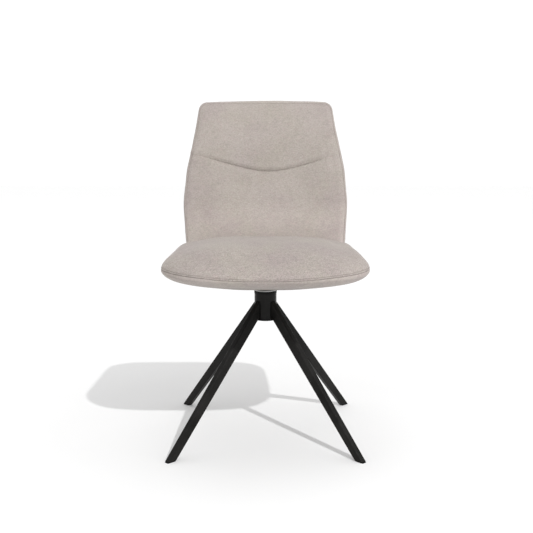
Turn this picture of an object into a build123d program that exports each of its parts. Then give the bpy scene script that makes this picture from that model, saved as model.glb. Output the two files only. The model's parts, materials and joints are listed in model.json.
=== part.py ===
from build123d import *
import os
from math import sqrt, hypot, atan2, degrees

os.makedirs("parts", exist_ok=True)

# Swivel dining chair, millimetres. The origin is on the floor under the swivel
# axis, +Z is up, the sitter faces -Y and +X is to the right in a front view.
# "left" and "right" are as seen from the front.

# ---------------------------------------------------------------- dimensions
# column
COL_R = 29.0            # outer radius of the hub tube
COL_WALL = 3.0
COL_CAP_Z0 = 305.0      # underside of the bottom cap
COL_Z0 = 311.5          # tube ends
COL_Z1 = 375.5
COLLAR_Z1 = 382.0       # top face of the black collar
FLANGE_R = 28.0         # light grey bearing flange on the collar
FLANGE_Z1 = 384.0

# spindle
SPINDLE_R = 15.0
SPINDLE_LOW_R = 12.5
RUN = 0.05              # radial running clearance in both bushings
SHOULDER_Z = 352.0
SPINDLE_Z0 = 311.0

# legs: radial distances of the outer and inner edge at the floor and the
# heights at which these edges meet the hub tube
LEG_RO, LEG_RI = 338.7, 313.7
LEG_ZO, LEG_ZI = 355.4, 312.9
LEG_T = 15.0
LEG_WALL = 1.8
LEG_EDGE = 2.0
GLIDE_H = 3.0

# seat
SEAT_Z0 = 424.0
SEAT_Z1 = 514.0
SEAM_Z = 454.5
FAB = 1.4               # upholstery fabric with its backing
BOARD_T = 12.0
PLATE = 175.0
PLATE_T = 5.0
PLATE_HOLE = 70.0       # hole position from the axis, x and y
RECESS_X, RECESS_Y = 117.0, 93.0

# back
BACK_Z0, BACK_Z1 = 424.0, 880.0
BOARD_SLOPE = 0.235     # lean of the back board, y per z
BOARD_Y = 172.0         # front face of the back board at z = 440
BACK_BOARD_T = 10.0

# brackets that carry the back on the seat
BR_X, BR_W, BR_T = 150.0, 40.0, 5.0
BR_Y0 = 12.0
BR_TOP = 640.0
BR_SEAT_Y = (38.0, 108.0)
BR_BACK_Z = (560.0, 618.0)


# ---------------------------------------------------------------- helpers
def save(name, *solids):
    shapes = []
    for s in solids:
        shapes += list(s.solids())
    out = shapes[0] if len(shapes) == 1 else Compound(children=shapes)
    export_step(out, f"parts/{name}.step")


def cyl(r, z0, z1, x=0.0, y=0.0):
    return Pos(x, y, (z0 + z1) / 2) * Cylinder(r, z1 - z0)


def ring(ro, ri, z0, z1, x=0.0, y=0.0):
    return cyl(ro, z0, z1, x, y) - cyl(ri, z0 - 1, z1 + 1, x, y)


def block(x0, x1, y0, y1, z0, z1):
    return Pos((x0 + x1) / 2, (y0 + y1) / 2, (z0 + z1) / 2) * Box(x1 - x0, y1 - y0, z1 - z0)


def rounded(plane, corners):
    # closed face through corner points (u, v, radius); the arcs are tangent
    face = make_face(plane * Polyline(*[(u, v) for u, v, r in corners], close=True))
    for u, v, r in corners:
        if r:
            at = plane.from_local_coords(Vector(u, v, 0))
            spot = sorted(face.vertices(), key=lambda q: (Vector(*tuple(q)) - at).length)[0]
            face = fillet(spot, r)
    return face


# ---------------------------------------------------------------- base: column
save("column_tube", ring(COL_R, COL_R - COL_WALL, COL_Z0, COL_Z1))

bush_r = 18.0
collar = cyl(COL_R + 0.5, COL_Z1, COLLAR_Z1) + cyl(COL_R - COL_WALL, 344.0, COL_Z1)
collar -= cyl(bush_r, 348.0, COLLAR_Z1 + 1)
collar -= cyl(SPINDLE_LOW_R + 2.0, 340.0, 349.0)
collar = fillet(collar.edges().filter_by(GeomType.CIRCLE).group_by(Axis.Z)[-1].sort_by(SortBy.RADIUS)[-1:], 1.2)
save("column_top_collar", collar)

# light grey flanged bushing: the pale disc seen under the seat
upper = cyl(FLANGE_R, COLLAR_Z1, FLANGE_Z1) + cyl(bush_r, 348.0, COLLAR_Z1)
upper -= cyl(SPINDLE_R + RUN, SHOULDER_Z - 1.7, FLANGE_Z1 + 1)
upper -= cyl(SPINDLE_LOW_R + 1.5, 340.0, 360.0)
upper = fillet(upper.edges().filter_by(GeomType.CIRCLE).group_by(Axis.Z)[-1].sort_by(SortBy.RADIUS)[-1:], 0.8)
save("upper_flanged_bushing", upper)

lower = ring(COL_R - COL_WALL, SPINDLE_LOW_R + RUN, 320.0, 338.0)
save("lower_bushing", lower)

cap = cyl(COL_R + 0.5, COL_CAP_Z0, COL_Z0) + cyl(COL_R - COL_WALL, COL_Z0, 317.5)
cap -= cyl(22.0, 308.0, 318.0)
cap = fillet(cap.edges().filter_by(GeomType.CIRCLE).group_by(Axis.Z)[0], 1.5)
save("column_bottom_cap", cap)

# ---------------------------------------------------------------- base: legs
def leg_profile(grow, z0, r1):
    # radial plane quadrilateral; grow < 0 insets it. r1 is where it is cut
    # near the axis
    def line(r0, zc, side):
        dr, dz = 29.0 - r0, zc
        L = hypot(dr, dz)
        # normal that points up and outwards
        nx, nz = dz / L, -dr / L
        return (r0 + nx * grow * side, nz * grow * side, dr / L, dz / L)
    o, i = line(LEG_RO, LEG_ZO, 1), line(LEG_RI, LEG_ZI, -1)

    def at_z(l, z):
        return (l[0] + l[2] * (z - l[1]) / l[3], z)

    def at_r(l, r):
        return (r, l[1] + l[3] * (r - l[0]) / l[2])
    return [at_z(o, z0), at_z(i, z0), at_r(i, r1), at_r(o, r1)]


def leg_prism(grow, half_t, z0, r1, edge=0.0):
    pts = leg_profile(grow, z0, r1)
    face = make_face(Plane.XZ * Polyline(*[(r, z) for r, z in pts], close=True))
    solid = extrude(face, amount=half_t, both=True)
    if edge:
        long = [e for e in solid.edges() if e.length > 150]
        solid = fillet(long, edge)
    return solid


def leg_parts(angle):
    outer = leg_prism(0.0, LEG_T / 2, 0.0, 10.0, LEG_EDGE)
    inner = leg_prism(-LEG_WALL, LEG_T / 2 - LEG_WALL, -5.0, 5.0, 0.8)
    keep = block(10, 400, -20, 20, GLIDE_H, 380) - cyl(COL_R, 200, 400)
    tube = (outer & keep) - inner
    # foot glide: a plug inside the tube and a thin pad under it
    pad = leg_prism(-0.4, LEG_T / 2 - 0.4, 0.0, 200.0, 1.6) & block(200, 400, -20, 20, 0, GLIDE_H)
    plug = leg_prism(-LEG_WALL - 0.05, LEG_T / 2 - LEG_WALL - 0.05, 1.0, 200.0, 0.7) & block(200, 400, -20, 20, GLIDE_H - 1, 24.0)
    glide = pad + plug
    return Rot(0, 0, angle) * tube, Rot(0, 0, angle) * glide


for name, angle in (("front_left", -135), ("front_right", -45),
                    ("rear_left", 135), ("rear_right", 45)):
    tube, glide = leg_parts(angle)
    save(f"{name}_leg", tube)
    save(f"{name}_glide", glide)

# ---------------------------------------------------------------- swivel
Z_BOARD = SEAT_Z0 + FAB + BOARD_T            # underside of the seat board
Z_PLATE = Z_BOARD - PLATE_T                  # underside of the mounting plate

spindle = cyl(SPINDLE_R, SHOULDER_Z, Z_PLATE) + cyl(SPINDLE_LOW_R, SPINDLE_Z0, SHOULDER_Z)
spindle += cyl(10.0, Z_PLATE, Z_BOARD - 0.6)
spindle -= ring(20.0, SPINDLE_LOW_R - 1.2, 315.6, 317.5)          # ring groove
spindle = chamfer(spindle.edges().filter_by(GeomType.CIRCLE).group_by(Axis.Z)[0], 1.0)
save("swivel_spindle", spindle)

# sliding washer under the shoulder, which takes the weight on the bushing
washer_t = 1.4
save("spindle_thrust_washer",
     ring(SPINDLE_R - 0.3, SPINDLE_LOW_R, SHOULDER_Z - washer_t, SHOULDER_Z))
save("spindle_lower_washer", ring(18.0, SPINDLE_LOW_R, 317.5, 319.6))
rr = ring(16.0, SPINDLE_LOW_R - 1.2, 315.6, 317.5) - block(-2.5, 2.5, -20, 0, 310, 320)
save("spindle_retaining_ring", rr)

# ---------------------------------------------------------------- seat outline
SEAT_HALF = [(76, -311.5, 285), (203, -297.5, 125), (251.6, -208.5, 112), (231.4, 146, 90)]
SEAT_TOP_R = 46.0
# flat part of the underside, half of it; from its edge the underside rises
# outwards at ROLL_RUN : ROLL_RISE
LOW_HALF = [(60, -247), (110, -226), (150, -192), (180, -150), (192, -100), (190, 0), (184, 88), (165, 117),
            (120, 124)]
ROLL_RUN, ROLL_RISE = 50.0, 24.0
seat_corners = SEAT_HALF + [(-x, y, r) for x, y, r in reversed(SEAT_HALF)]
seat_face = rounded(Plane.XY, seat_corners)


def plate_shape(d, z0, z1):
    face = offset(seat_face, amount=-d) if d else seat_face
    return Pos(0, 0, z0) * extrude(face, amount=z1 - z0)


low_face = make_face(Plane.XY * Polyline(*(LOW_HALF + [(-x, y) for x, y in reversed(LOW_HALF)]), close=True))


def low_prism(d, z0, z1):
    # upright prism on the flat part of the underside, grown by d
    face = offset(low_face, amount=d, kind=Kind.INTERSECTION) if d else low_face
    return Pos(0, 0, z0) * extrude(face, amount=z1 - z0)


def low_bowl(d):
    # the flat part and the slopes round it, pulled in by d
    shift = d * ROLL_RUN / ROLL_RISE - d * hypot(ROLL_RUN, ROLL_RISE) / ROLL_RISE
    face = offset(low_face, amount=shift, kind=Kind.INTERSECTION) if d else low_face
    h = 44.0
    slope = degrees(atan2(ROLL_RUN, ROLL_RISE))
    cup = Pos(0, 0, SEAT_Z0 + d) * extrude(face, amount=h, taper=-slope)
    return cup + block(-300, 300, -400, 300, SEAT_Z0 + d + h, 600)


def cushion(d):
    solid = plate_shape(d, SEAT_Z0 + d, SEAT_Z1 - d)
    solid = fillet(solid.edges().group_by(Axis.Z)[-1], SEAT_TOP_R - d)
    return solid & low_bowl(d)


outer_cushion = cushion(0.0)
core = cushion(FAB)

# ---------------------------------------------------------------- brackets
nrm = 1 / sqrt(1 + BOARD_SLOPE ** 2)


def y_board(z):
    return BOARD_Y + BOARD_SLOPE * (z - 440.0)


def bracket_profile(grow):
    # side view of the L shaped flat bar
    t = BR_T / nrm
    z0, z1 = Z_PLATE - grow, Z_BOARD + (grow if grow else 0)
    g = grow / nrm
    pts = [(BR_Y0 - grow, z0), (y_board(z0) + g, z0), (y_board(BR_TOP + grow) + g, BR_TOP + grow),
           (y_board(BR_TOP + grow) - t - g, BR_TOP + grow), (y_board(z1) - t - g, z1), (BR_Y0 - grow, z1)]
    face = make_face(Plane.YZ * Polyline(*pts, close=True))
    return face


def bracket(x, grow=0.0):
    face = bracket_profile(grow)
    solid = extrude(face, amount=BR_W / 2 + grow, both=True)
    # bend: outer and inner corner of the L
    z0, z1 = Z_PLATE - grow, Z_BOARD + grow
    t = BR_T / nrm
    lines = [e for e in solid.edges() if abs(e.length - (BR_W + 2 * grow)) < 0.01]
    yo = y_board(z0) + grow / nrm
    yi = y_board(z1) - t - grow / nrm
    out = [e for e in lines if abs(e.center().Y - yo) < 0.3 and abs(e.center().Z - z0) < 0.3]
    inn = [e for e in lines if abs(e.center().Y - yi) < 0.3 and abs(e.center().Z - z1) < 0.3]
    solid = fillet(out, 13.0)
    lines = [e for e in solid.edges() if abs(e.length - (BR_W + 2 * grow)) < 0.01]
    inn = [e for e in lines if abs(e.center().Y - yi) < 0.3 and abs(e.center().Z - z1) < 0.3]
    solid = fillet(inn, 8.0)
    return Pos(x, 0, 0) * solid


def board_plane(x, z, off=0.0):
    # local frame on the front face of the back board, z axis out of the front
    d = Vector(0, -nrm, nrm * BOARD_SLOPE)
    return Plane(origin=Vector(x, y_board(z), z) + d * off, x_dir=(1, 0, 0), z_dir=d)


def back_rod(r, x, z, a, b):
    # cylinder along the board's normal; a and b measured forwards
    pl = board_plane(x, z)
    return pl * (Pos(0, 0, (a + b) / 2) * Cylinder(r, b - a))


bracket_holes_seat = [(s * BR_X, y) for s in (-1, 1) for y in BR_SEAT_Y]
bracket_holes_back = [(s * BR_X, z) for s in (-1, 1) for z in BR_BACK_Z]

for side, sx in (("left", -1), ("right", 1)):
    b = bracket(sx * BR_X)
    for x, y in bracket_holes_seat:
        if x * sx > 0:
            b -= cyl(4.3, Z_PLATE - 5, Z_BOARD + 5, x, y)
    for x, z in bracket_holes_back:
        if x * sx > 0:
            b -= back_rod(3.3, x, z, -5, 12)
    save(f"{side}_back_bracket", b)

bracket_space = bracket(-BR_X, 0.25) + bracket(BR_X, 0.25)

# ---------------------------------------------------------------- seat inside
plate_holes = [(sx * PLATE_HOLE, sy * PLATE_HOLE) for sx in (-1, 1) for sy in (-1, 1)]

plate = Pos(0, 0, (Z_PLATE + Z_BOARD) / 2) * Box(PLATE, PLATE, PLATE_T)
plate = fillet(plate.edges().filter_by(Axis.Z), 14.0)
plate -= cyl(10.0, Z_PLATE - 1, Z_BOARD + 1)
for x, y in plate_holes:
    plate -= cyl(4.5, Z_PLATE - 1, Z_BOARD + 1, x, y)
save("seat_mounting_plate", plate)

seat_board = plate_shape(17.0, Z_BOARD, Z_BOARD + BOARD_T) & low_prism(22.0, Z_BOARD - 1, Z_BOARD + BOARD_T + 1)
board_blank = seat_board
nut_places = plate_holes + bracket_holes_seat
for x, y in nut_places:
    seat_board -= cyl(5.0, Z_BOARD - 1, Z_BOARD + BOARD_T + 1, x, y)
save("seat_board", seat_board)

# four plywood rails under the board leave the recess for the mounting plate;
# the side rails step aside for the bracket bars
frame_sheet = low_prism(-3.0, SEAT_Z0 + FAB, Z_BOARD)
opening = Pos(0, 0, SEAT_Z0) * Box(2 * RECESS_X, 2 * RECESS_Y, 60)
bar_in, bar_out = BR_X - BR_W / 2 - 0.5, BR_X + BR_W / 2 + 0.5
rails = [frame_sheet & block(-300, 300, -350, -RECESS_Y, 400, 460),
         frame_sheet & block(-bar_in, bar_in, RECESS_Y, 200, 400, 460)]
for sx in (-1, 1):
    a, b = sorted((sx * RECESS_X, sx * 300)), sorted((sx * bar_out, sx * 300))
    rails.append((frame_sheet & block(*a, -RECESS_Y, BR_Y0 - 1, 400, 460))
                 + (frame_sheet & block(*b, BR_Y0 - 1.5, 200, 400, 460)))
save("seat_underframe_rails", *rails)


def t_nut(x, y, z0, z1, r=5.0, bore=4.0):
    return ring(r, bore, z0, z1, x, y) + ring(10.5, bore, z1, z1 + 1.2, x, y)


save("seat_t_nuts", *[t_nut(x, y, Z_BOARD + 0.4, Z_BOARD + BOARD_T) for x, y in nut_places])

washers, bolts = [], []
for x, y in plate_holes:
    washers.append(ring(8.5, 4.2, Z_PLATE - 1.6, Z_PLATE, x, y))
    head = cyl(6.8, Z_PLATE - 1.6 - 4.6, Z_PLATE - 1.6, x, y)
    head = fillet(head.edges().filter_by(GeomType.CIRCLE).group_by(Axis.Z)[0], 2.2)
    socket = extrude(Plane(origin=(x, y, Z_PLATE - 1.6 - 4.6)) * RegularPolygon(2.9, 6), amount=2.8)
    bolts.append(head - socket + cyl(3.95, Z_PLATE - 1.6, Z_BOARD + BOARD_T - 1.0, x, y))
save("seat_plate_washers", *washers)
save("seat_plate_bolts", *bolts)

bolts = []
for x, y in bracket_holes_seat:
    head = cyl(6.8, Z_PLATE - 4.6, Z_PLATE, x, y)
    head = fillet(head.edges().filter_by(GeomType.CIRCLE).group_by(Axis.Z)[0], 2.2)
    socket = extrude(Plane(origin=(x, y, Z_PLATE - 4.6)) * RegularPolygon(2.9, 6), amount=2.8)
    bolts.append(head - socket + cyl(3.95, Z_PLATE, Z_BOARD + BOARD_T - 1.0, x, y))
save("bracket_seat_bolts", *bolts)

# ---------------------------------------------------------------- seat padding
Z_PAD = Z_BOARD + BOARD_T
inner_void = board_blank + low_prism(-3.0, SEAT_Z0, Z_BOARD)
foam = core & block(-300, 300, -350, 200, Z_PAD, 520)
for x, y in nut_places:
    foam -= cyl(10.6, Z_PAD - 1, Z_PAD + 1.3, x, y)
save("seat_foam", foam)

# foam strips round the edge of the board and the rails
strip = (core & block(-300, 300, -350, 200, 400, Z_PAD)) - inner_void - bracket_space
cuts = [block(-300, 300, -350, -190, 400, Z_PAD), block(-300, 0, -190, 96, 400, Z_PAD),
        block(0, 300, -190, 96, 400, Z_PAD), block(-300, 300, 96, 200, 400, Z_PAD)]
save("seat_edge_foam", *[strip & c for c in cuts])

shell = outer_cushion - core
shell -= low_prism(-20.0, SEAT_Z0 - 2, SEAT_Z0 + FAB + 4)
shell -= bracket_space
save("seat_top_cover", shell & block(-300, 300, -350, 200, SEAM_Z, 520))
save("seat_edge_band", shell & block(-300, 300, -350, 200, 400, SEAM_Z))

under = low_prism(-20.0, SEAT_Z0, SEAT_Z0 + FAB - 0.4) - opening
save("seat_underside_cover", under)

# ---------------------------------------------------------------- back shape
# front view outline: half width by height, with the rounding of each corner
BACK_HALF = [(216, 424, 14), (229.8, 600, 260), (222, 690, 260), (198.5, 802, 200), (186.5, 880, 27)]
WRAP = 22.0             # how far the sides come forward of the middle
WRAP_R = 1180.0
BEND_Z = 505.0          # below this the front face is upright, behind the seat
FRONT_Y = 150.0
REAR = 30.0             # board front face to the rear of the cover

back_corners = BACK_HALF + [(-x, z, r) for x, z, r in reversed(BACK_HALF)]
# in this plane u is x and v is z
front_plane = Plane(origin=(0, 0, 0), x_dir=(1, 0, 0), z_dir=(0, -1, 0))
back_face = rounded(front_plane, back_corners)


def back_prism(d, y0=100.0, y1=340.0):
    face = offset(back_face, amount=-d) if d else back_face
    return Pos(0, y0, 0) * extrude(face, amount=y1 - y0, dir=(0, 1, 0))


def side_prism(pts, half=300.0):
    face = make_face(Plane.YZ * Polyline(*pts, close=True))
    return extrude(face, amount=half, both=True)


def hollow(d):
    # hollow of the front face: a wide cylinder that leans with the board
    lean = Vector(0, BOARD_SLOPE * nrm, nrm)
    out = Vector(0, -nrm, BOARD_SLOPE * nrm)
    base = Vector(0, FRONT_Y, BEND_Z) + out * WRAP_R + lean * 150
    pl = Plane(origin=base, x_dir=(1, 0, 0), z_dir=lean)
    return pl * Cylinder(WRAP_R + d, 1400)


def back_solid(d):
    z_far = 920.0
    kink = BEND_Z + WRAP / BOARD_SLOPE
    e = d / nrm
    prof = side_prism([
        (FRONT_Y + d, 400), (FRONT_Y + d, kink - d * 0.1), (FRONT_Y + e + (z_far - kink) * BOARD_SLOPE, z_far),
        (y_board(z_far) + REAR - e, z_far), (y_board(400) + REAR - e, 400)])
    solid = prof & back_prism(d)
    solid -= hollow(d)
    return solid


back_outer = back_solid(0.0)
back_core = back_solid(FAB)

# plywood back board: the front view outline, pulled in, on a leaning slab
ZB0, ZB1 = 446.0, 860.0
lean_slab = side_prism([
    (y_board(ZB0), ZB0), (y_board(ZB0) + BACK_BOARD_T / nrm, ZB0),
    (y_board(ZB1) + BACK_BOARD_T / nrm, ZB1), (y_board(ZB1), ZB1)])
back_board = back_prism(20.0) & lean_slab
board_full = back_board
for x, z in bracket_holes_back:
    back_board = back_board - back_rod(4.0, x, z, -20, 2)
save("back_board", back_board)

nuts, bolts, pockets = [], [], None
for x, z in bracket_holes_back:
    nut = back_rod(4.0, x, z, -BACK_BOARD_T, -0.4) + back_rod(9.0, x, z, -BACK_BOARD_T - 1.2, -BACK_BOARD_T)
    nuts.append(nut - back_rod(3.0, x, z, -20, 5))
    head = back_rod(5.6, x, z, BR_T, BR_T + 3.4)
    bolts.append(head + back_rod(2.95, x, z, -BACK_BOARD_T + 1.0, BR_T))
    p = back_rod(9.1, x, z, -BACK_BOARD_T - 1.3, -BACK_BOARD_T + 1) + back_rod(5.8, x, z, 1.0, BR_T + 3.6)
    pockets = p if pockets is None else pockets + p
save("back_t_nuts", *nuts)
save("bracket_back_bolts", *bolts)

# foam in front of and behind the board, parted at the board's middle
split = side_prism([(0, 400), (y_board(400) + 5.0 / nrm, 400), (y_board(900) + 5.0 / nrm, 900), (0, 900)])
filling = back_core - board_full - bracket_space - pockets
save("back_front_foam", filling & split)
save("back_rear_foam", filling - split)

# cover in three panels: front, a band round the edge, rear
kink = BEND_Z + WRAP / BOARD_SLOPE
front_zone = side_prism([(0, 380), (FRONT_Y + 9, 380), (FRONT_Y + 9, kink),
                         (FRONT_Y + 9 + (920 - kink) * BOARD_SLOPE, 920), (0, 920)])
front_zone += hollow(9.0)
rear_zone = side_prism([(y_board(380) + REAR - 9, 380), (y_board(920) + REAR - 9, 920), (400, 920), (400, 380)])
back_shell = back_outer - back_core - bracket_space
save("back_front_cover", back_shell & front_zone)
save("back_rear_cover", back_shell & rear_zone)
save("back_edge_band", back_shell - front_zone - rear_zone)
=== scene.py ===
import json
import math

import bpy
import bmesh
import numpy as np
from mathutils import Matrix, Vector
from mathutils.bvhtree import BVHTree

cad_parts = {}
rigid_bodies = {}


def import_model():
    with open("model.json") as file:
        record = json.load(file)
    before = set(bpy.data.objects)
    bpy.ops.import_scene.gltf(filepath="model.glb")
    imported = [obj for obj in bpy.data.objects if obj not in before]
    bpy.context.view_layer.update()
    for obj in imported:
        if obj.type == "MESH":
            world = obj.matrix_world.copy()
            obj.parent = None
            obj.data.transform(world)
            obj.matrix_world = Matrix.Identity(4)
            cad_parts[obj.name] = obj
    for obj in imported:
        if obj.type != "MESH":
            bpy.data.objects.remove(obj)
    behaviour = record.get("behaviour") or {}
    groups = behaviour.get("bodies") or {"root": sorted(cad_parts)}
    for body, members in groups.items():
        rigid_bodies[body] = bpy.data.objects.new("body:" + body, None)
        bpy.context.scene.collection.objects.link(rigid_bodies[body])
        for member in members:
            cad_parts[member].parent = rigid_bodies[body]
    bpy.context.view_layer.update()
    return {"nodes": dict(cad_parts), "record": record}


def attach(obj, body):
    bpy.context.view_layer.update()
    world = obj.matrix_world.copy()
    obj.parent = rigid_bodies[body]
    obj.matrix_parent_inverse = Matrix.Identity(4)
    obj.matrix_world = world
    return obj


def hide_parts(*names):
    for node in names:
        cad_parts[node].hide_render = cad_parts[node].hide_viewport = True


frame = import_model()
NODES = frame["nodes"]
SCENE = bpy.context.scene
MM = 0.001

# Millimetres are used for the shapes below and turned into metres when a mesh
# is made. The origin is on the floor under the swivel axis, the sitter faces
# -Y, and left and right are as seen from the front.

# ------------------------------------------------------------------ camera
cam_data = bpy.data.cameras.new("camera")
cam_data.lens = 57.19
cam_data.sensor_width = 36.0
cam_data.sensor_fit = "HORIZONTAL"
cam_data.clip_start = 0.05
cam_data.clip_end = 60.0
camera = bpy.data.objects.new("camera", cam_data)
SCENE.collection.objects.link(camera)
camera.location = (0.0026, -2.1924, 0.7584)
camera.rotation_euler = (math.radians(90.0 - 8.143), 0.0, 0.0)
SCENE.camera = camera

SCENE.view_settings.view_transform = "Standard"
SCENE.view_settings.look = "None"
SCENE.view_settings.exposure = 0.0
SCENE.view_settings.gamma = 1.0


# ------------------------------------------------------------------ material helpers
class Graph:
    def __init__(self, name):
        self.mat = bpy.data.materials.new(name)
        self.mat.use_nodes = True
        self.t = self.mat.node_tree
        self.t.nodes.clear()
        self.out = self.t.nodes.new("ShaderNodeOutputMaterial")
        self.bsdf = self.t.nodes.new("ShaderNodeBsdfPrincipled")
        self.t.links.new(self.bsdf.outputs["BSDF"], self.out.inputs["Surface"])
        self.coord = self.t.nodes.new("ShaderNodeTexCoord").outputs["Object"]

    def link(self, a, b):
        self.t.links.new(a, b)

    def mapping(self, scale=(1, 1, 1), rot=(0, 0, 0), loc=(0, 0, 0)):
        m = self.t.nodes.new("ShaderNodeMapping")
        m.inputs["Scale"].default_value = scale
        m.inputs["Rotation"].default_value = rot
        m.inputs["Location"].default_value = loc
        self.link(self.coord, m.inputs["Vector"])
        return m.outputs["Vector"]

    def noise(self, scale, detail=2.0, rough=0.5, vec=None, distortion=0.0):
        n = self.t.nodes.new("ShaderNodeTexNoise")
        n.inputs["Scale"].default_value = scale
        n.inputs["Detail"].default_value = detail
        n.inputs["Roughness"].default_value = rough
        n.inputs["Distortion"].default_value = distortion
        self.link(vec if vec is not None else self.coord, n.inputs["Vector"])
        return n.outputs["Fac"]

    def voronoi(self, scale, feature="F1", out="Distance", vec=None, rand=1.0):
        n = self.t.nodes.new("ShaderNodeTexVoronoi")
        n.feature = feature
        n.inputs["Scale"].default_value = scale
        n.inputs["Randomness"].default_value = rand
        self.link(vec if vec is not None else self.coord, n.inputs["Vector"])
        return n.outputs[out]

    def ramp(self, fac, stops, interp="LINEAR"):
        r = self.t.nodes.new("ShaderNodeValToRGB")
        r.color_ramp.interpolation = interp
        els = r.color_ramp.elements
        while len(els) < len(stops):
            els.new(0.5)
        for e, (pos, col) in zip(els, stops):
            e.position = pos
            e.color = (*col, 1.0) if len(col) == 3 else col
        self.link(fac, r.inputs["Fac"])
        return r.outputs["Color"]

    def range(self, fac, a, b, lo=0.0, hi=1.0):
        r = self.t.nodes.new("ShaderNodeMapRange")
        r.inputs["From Min"].default_value = lo
        r.inputs["From Max"].default_value = hi
        r.inputs["To Min"].default_value = a
        r.inputs["To Max"].default_value = b
        self.link(fac, r.inputs["Value"])
        return r.outputs["Result"]

    def math(self, op, a, b=None, clamp=False):
        n = self.t.nodes.new("ShaderNodeMath")
        n.operation = op
        n.use_clamp = clamp
        for i, v in enumerate((a, b)):
            if v is None:
                continue
            if isinstance(v, (int, float)):
                n.inputs[i].default_value = v
            else:
                self.link(v, n.inputs[i])
        return n.outputs[0]

    def mix(self, fac, a, b, mode="MIX"):
        n = self.t.nodes.new("ShaderNodeMix")
        n.data_type = "RGBA"
        n.blend_type = mode
        for key, v in ((0, fac), (6, a), (7, b)):
            if isinstance(v, (int, float)):
                n.inputs[key].default_value = v
            elif isinstance(v, tuple):
                n.inputs[key].default_value = (*v, 1.0) if len(v) == 3 else v
            else:
                self.link(v, n.inputs[key])
        return n.outputs[2]

    def bump(self, height, strength, distance, normal=None):
        b = self.t.nodes.new("ShaderNodeBump")
        b.inputs["Strength"].default_value = strength
        b.inputs["Distance"].default_value = distance
        self.link(height, b.inputs["Height"])
        if normal is not None:
            self.link(normal, b.inputs["Normal"])
        return b.outputs["Normal"]

    def set(self, **kw):
        for k, v in kw.items():
            name = k.replace("_", " ")
            names = {s.name.lower(): s for s in self.bsdf.inputs}
            s = names[name.lower()]
            if isinstance(v, (int, float)):
                s.default_value = v
            elif isinstance(v, tuple):
                s.default_value = (*v, 1.0) if len(v) == 3 and s.type == "RGBA" else v
            else:
                self.link(v, s)
        return self


def suede(name, offset=(0, 0, 0), painted_shade=1.0, grain_gain=1.0, flat=False, tone_and_painted_light=None):
    # warm grey microfibre: short brushed nap with cloudy patches where it lies
    # another way, over a fine mottled ground. The grain runs across the chair.
    g = Graph(name)
    run = (0.78, 0.90, 1.0) if flat else (0.72, 1.0, 1.12)
    vec = g.mapping(loc=offset)
    across = g.mapping(scale=run, loc=offset)
    big = g.noise(6.5, 2.0, 0.45, vec, 0.6)
    mid = g.noise(17.0, 3.0, 0.55, vec, 0.4)
    cloud = g.math("ADD", g.math("MULTIPLY", big, 0.66), g.math("MULTIPLY", mid, 0.34))
    # the shade factor scales the whole colour; below 1 it gives a darker copy of the cloth as painted shade
    pink = tuple(c * painted_shade for c in (0.350, 0.3060, 0.290))
    sand = tuple(c * painted_shade for c in (0.372, 0.3375, 0.303))
    base = g.ramp(cloud, [(0.41, pink), (0.59, sand)])
    # light and dark of the nap, patches of a hand's width
    lie = g.noise(8.0, 3.0, 0.5, g.mapping(loc=(offset[0] + 3.1, offset[1], offset[2] + 1.7)), 0.8)
    base = g.mix(g.range(lie, 0.0, 0.42 if flat else 0.75, 0.36, 0.68), base, tuple(c * painted_shade for c in (0.408, 0.366, 0.342)))
    # single fibres of another tone, in flecks of rose and straw
    fleck = g.noise(150.0, 3.0, 0.6, across, 0.4)
    base = g.mix(0.85, base, g.ramp(fleck, [(0.36, (1.03, 0.985, 0.99)), (0.5, (1.0, 1.0, 1.0)), (0.64, (0.995, 1.0, 0.97))]), "MULTIPLY")
    # mottled ground a few millimetres across and single fibre tufts below it
    fine = 1.4 if flat else 1.15
    blot = g.noise(95.0 * fine, 2.0, 0.5, across, 0.5)
    mott = g.noise(300.0 * fine, 3.0, 0.62, across, 0.3)
    tuft = g.noise(1000.0 * fine, 2.0, 0.6, across)
    grain = g.math("ADD", g.math("MULTIPLY", mott, 0.50), g.math("ADD", g.math("MULTIPLY", tuft, 0.36), g.math("MULTIPLY", blot, 0.14)))
    d = 0.21 * grain_gain
    grey = g.ramp(grain, [(0.36, (1 - d, 1 - d, 1 - d)), (0.5, (1.0, 1.0, 1.0)), (0.64, (1 + d, 1 + d, 1 + d))])
    base = g.mix(1.0, base, grey, "MULTIPLY")
    if tone_and_painted_light is not None:
        # painted light and shade by height: the colour is made lighter or darker
        # with height to even out this scene's light over the pad; it is a setting for the render, not a property of the
        # cloth
        height = g.t.nodes.new("ShaderNodeSeparateXYZ")
        g.link(g.coord, height.inputs["Vector"])
        stops = [((z - 0.42) / 0.48, (f, f, f)) for z, f in tone_and_painted_light]
        base = g.mix(1.0, base, g.ramp(g.range(height.outputs["Z"], 0.0, 1.0, 0.42, 0.90), stops), "MULTIPLY")
    g.set(Base_Color=base)
    g.set(Roughness=g.range(mott, 0.86, 0.97), Specular_IOR_Level=0.16,
          Sheen_Weight=0.26, Sheen_Roughness=0.42, Sheen_Tint=(0.90, 0.86, 0.84))
    n1 = g.bump(mott, 0.24, 0.0011)
    n2 = g.bump(tuft, 0.32, 0.0004, n1)
    g.set(Normal=n2)
    return g.mat


def thread(name, colour):
    g = Graph(name)
    ply = g.noise(900.0, 2.0, 0.6, g.mapping(scale=(1.0, 1.0, 1.0)))
    g.set(Base_Color=g.ramp(ply, [(0.3, tuple(c * 0.8 for c in colour)), (0.7, tuple(c * 1.12 for c in colour))]),
          Roughness=0.7, Specular_IOR_Level=0.3, Sheen_Weight=0.1, Sheen_Roughness=0.4,
          Normal=g.bump(ply, 0.5, 0.0002))
    return g.mat


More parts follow.
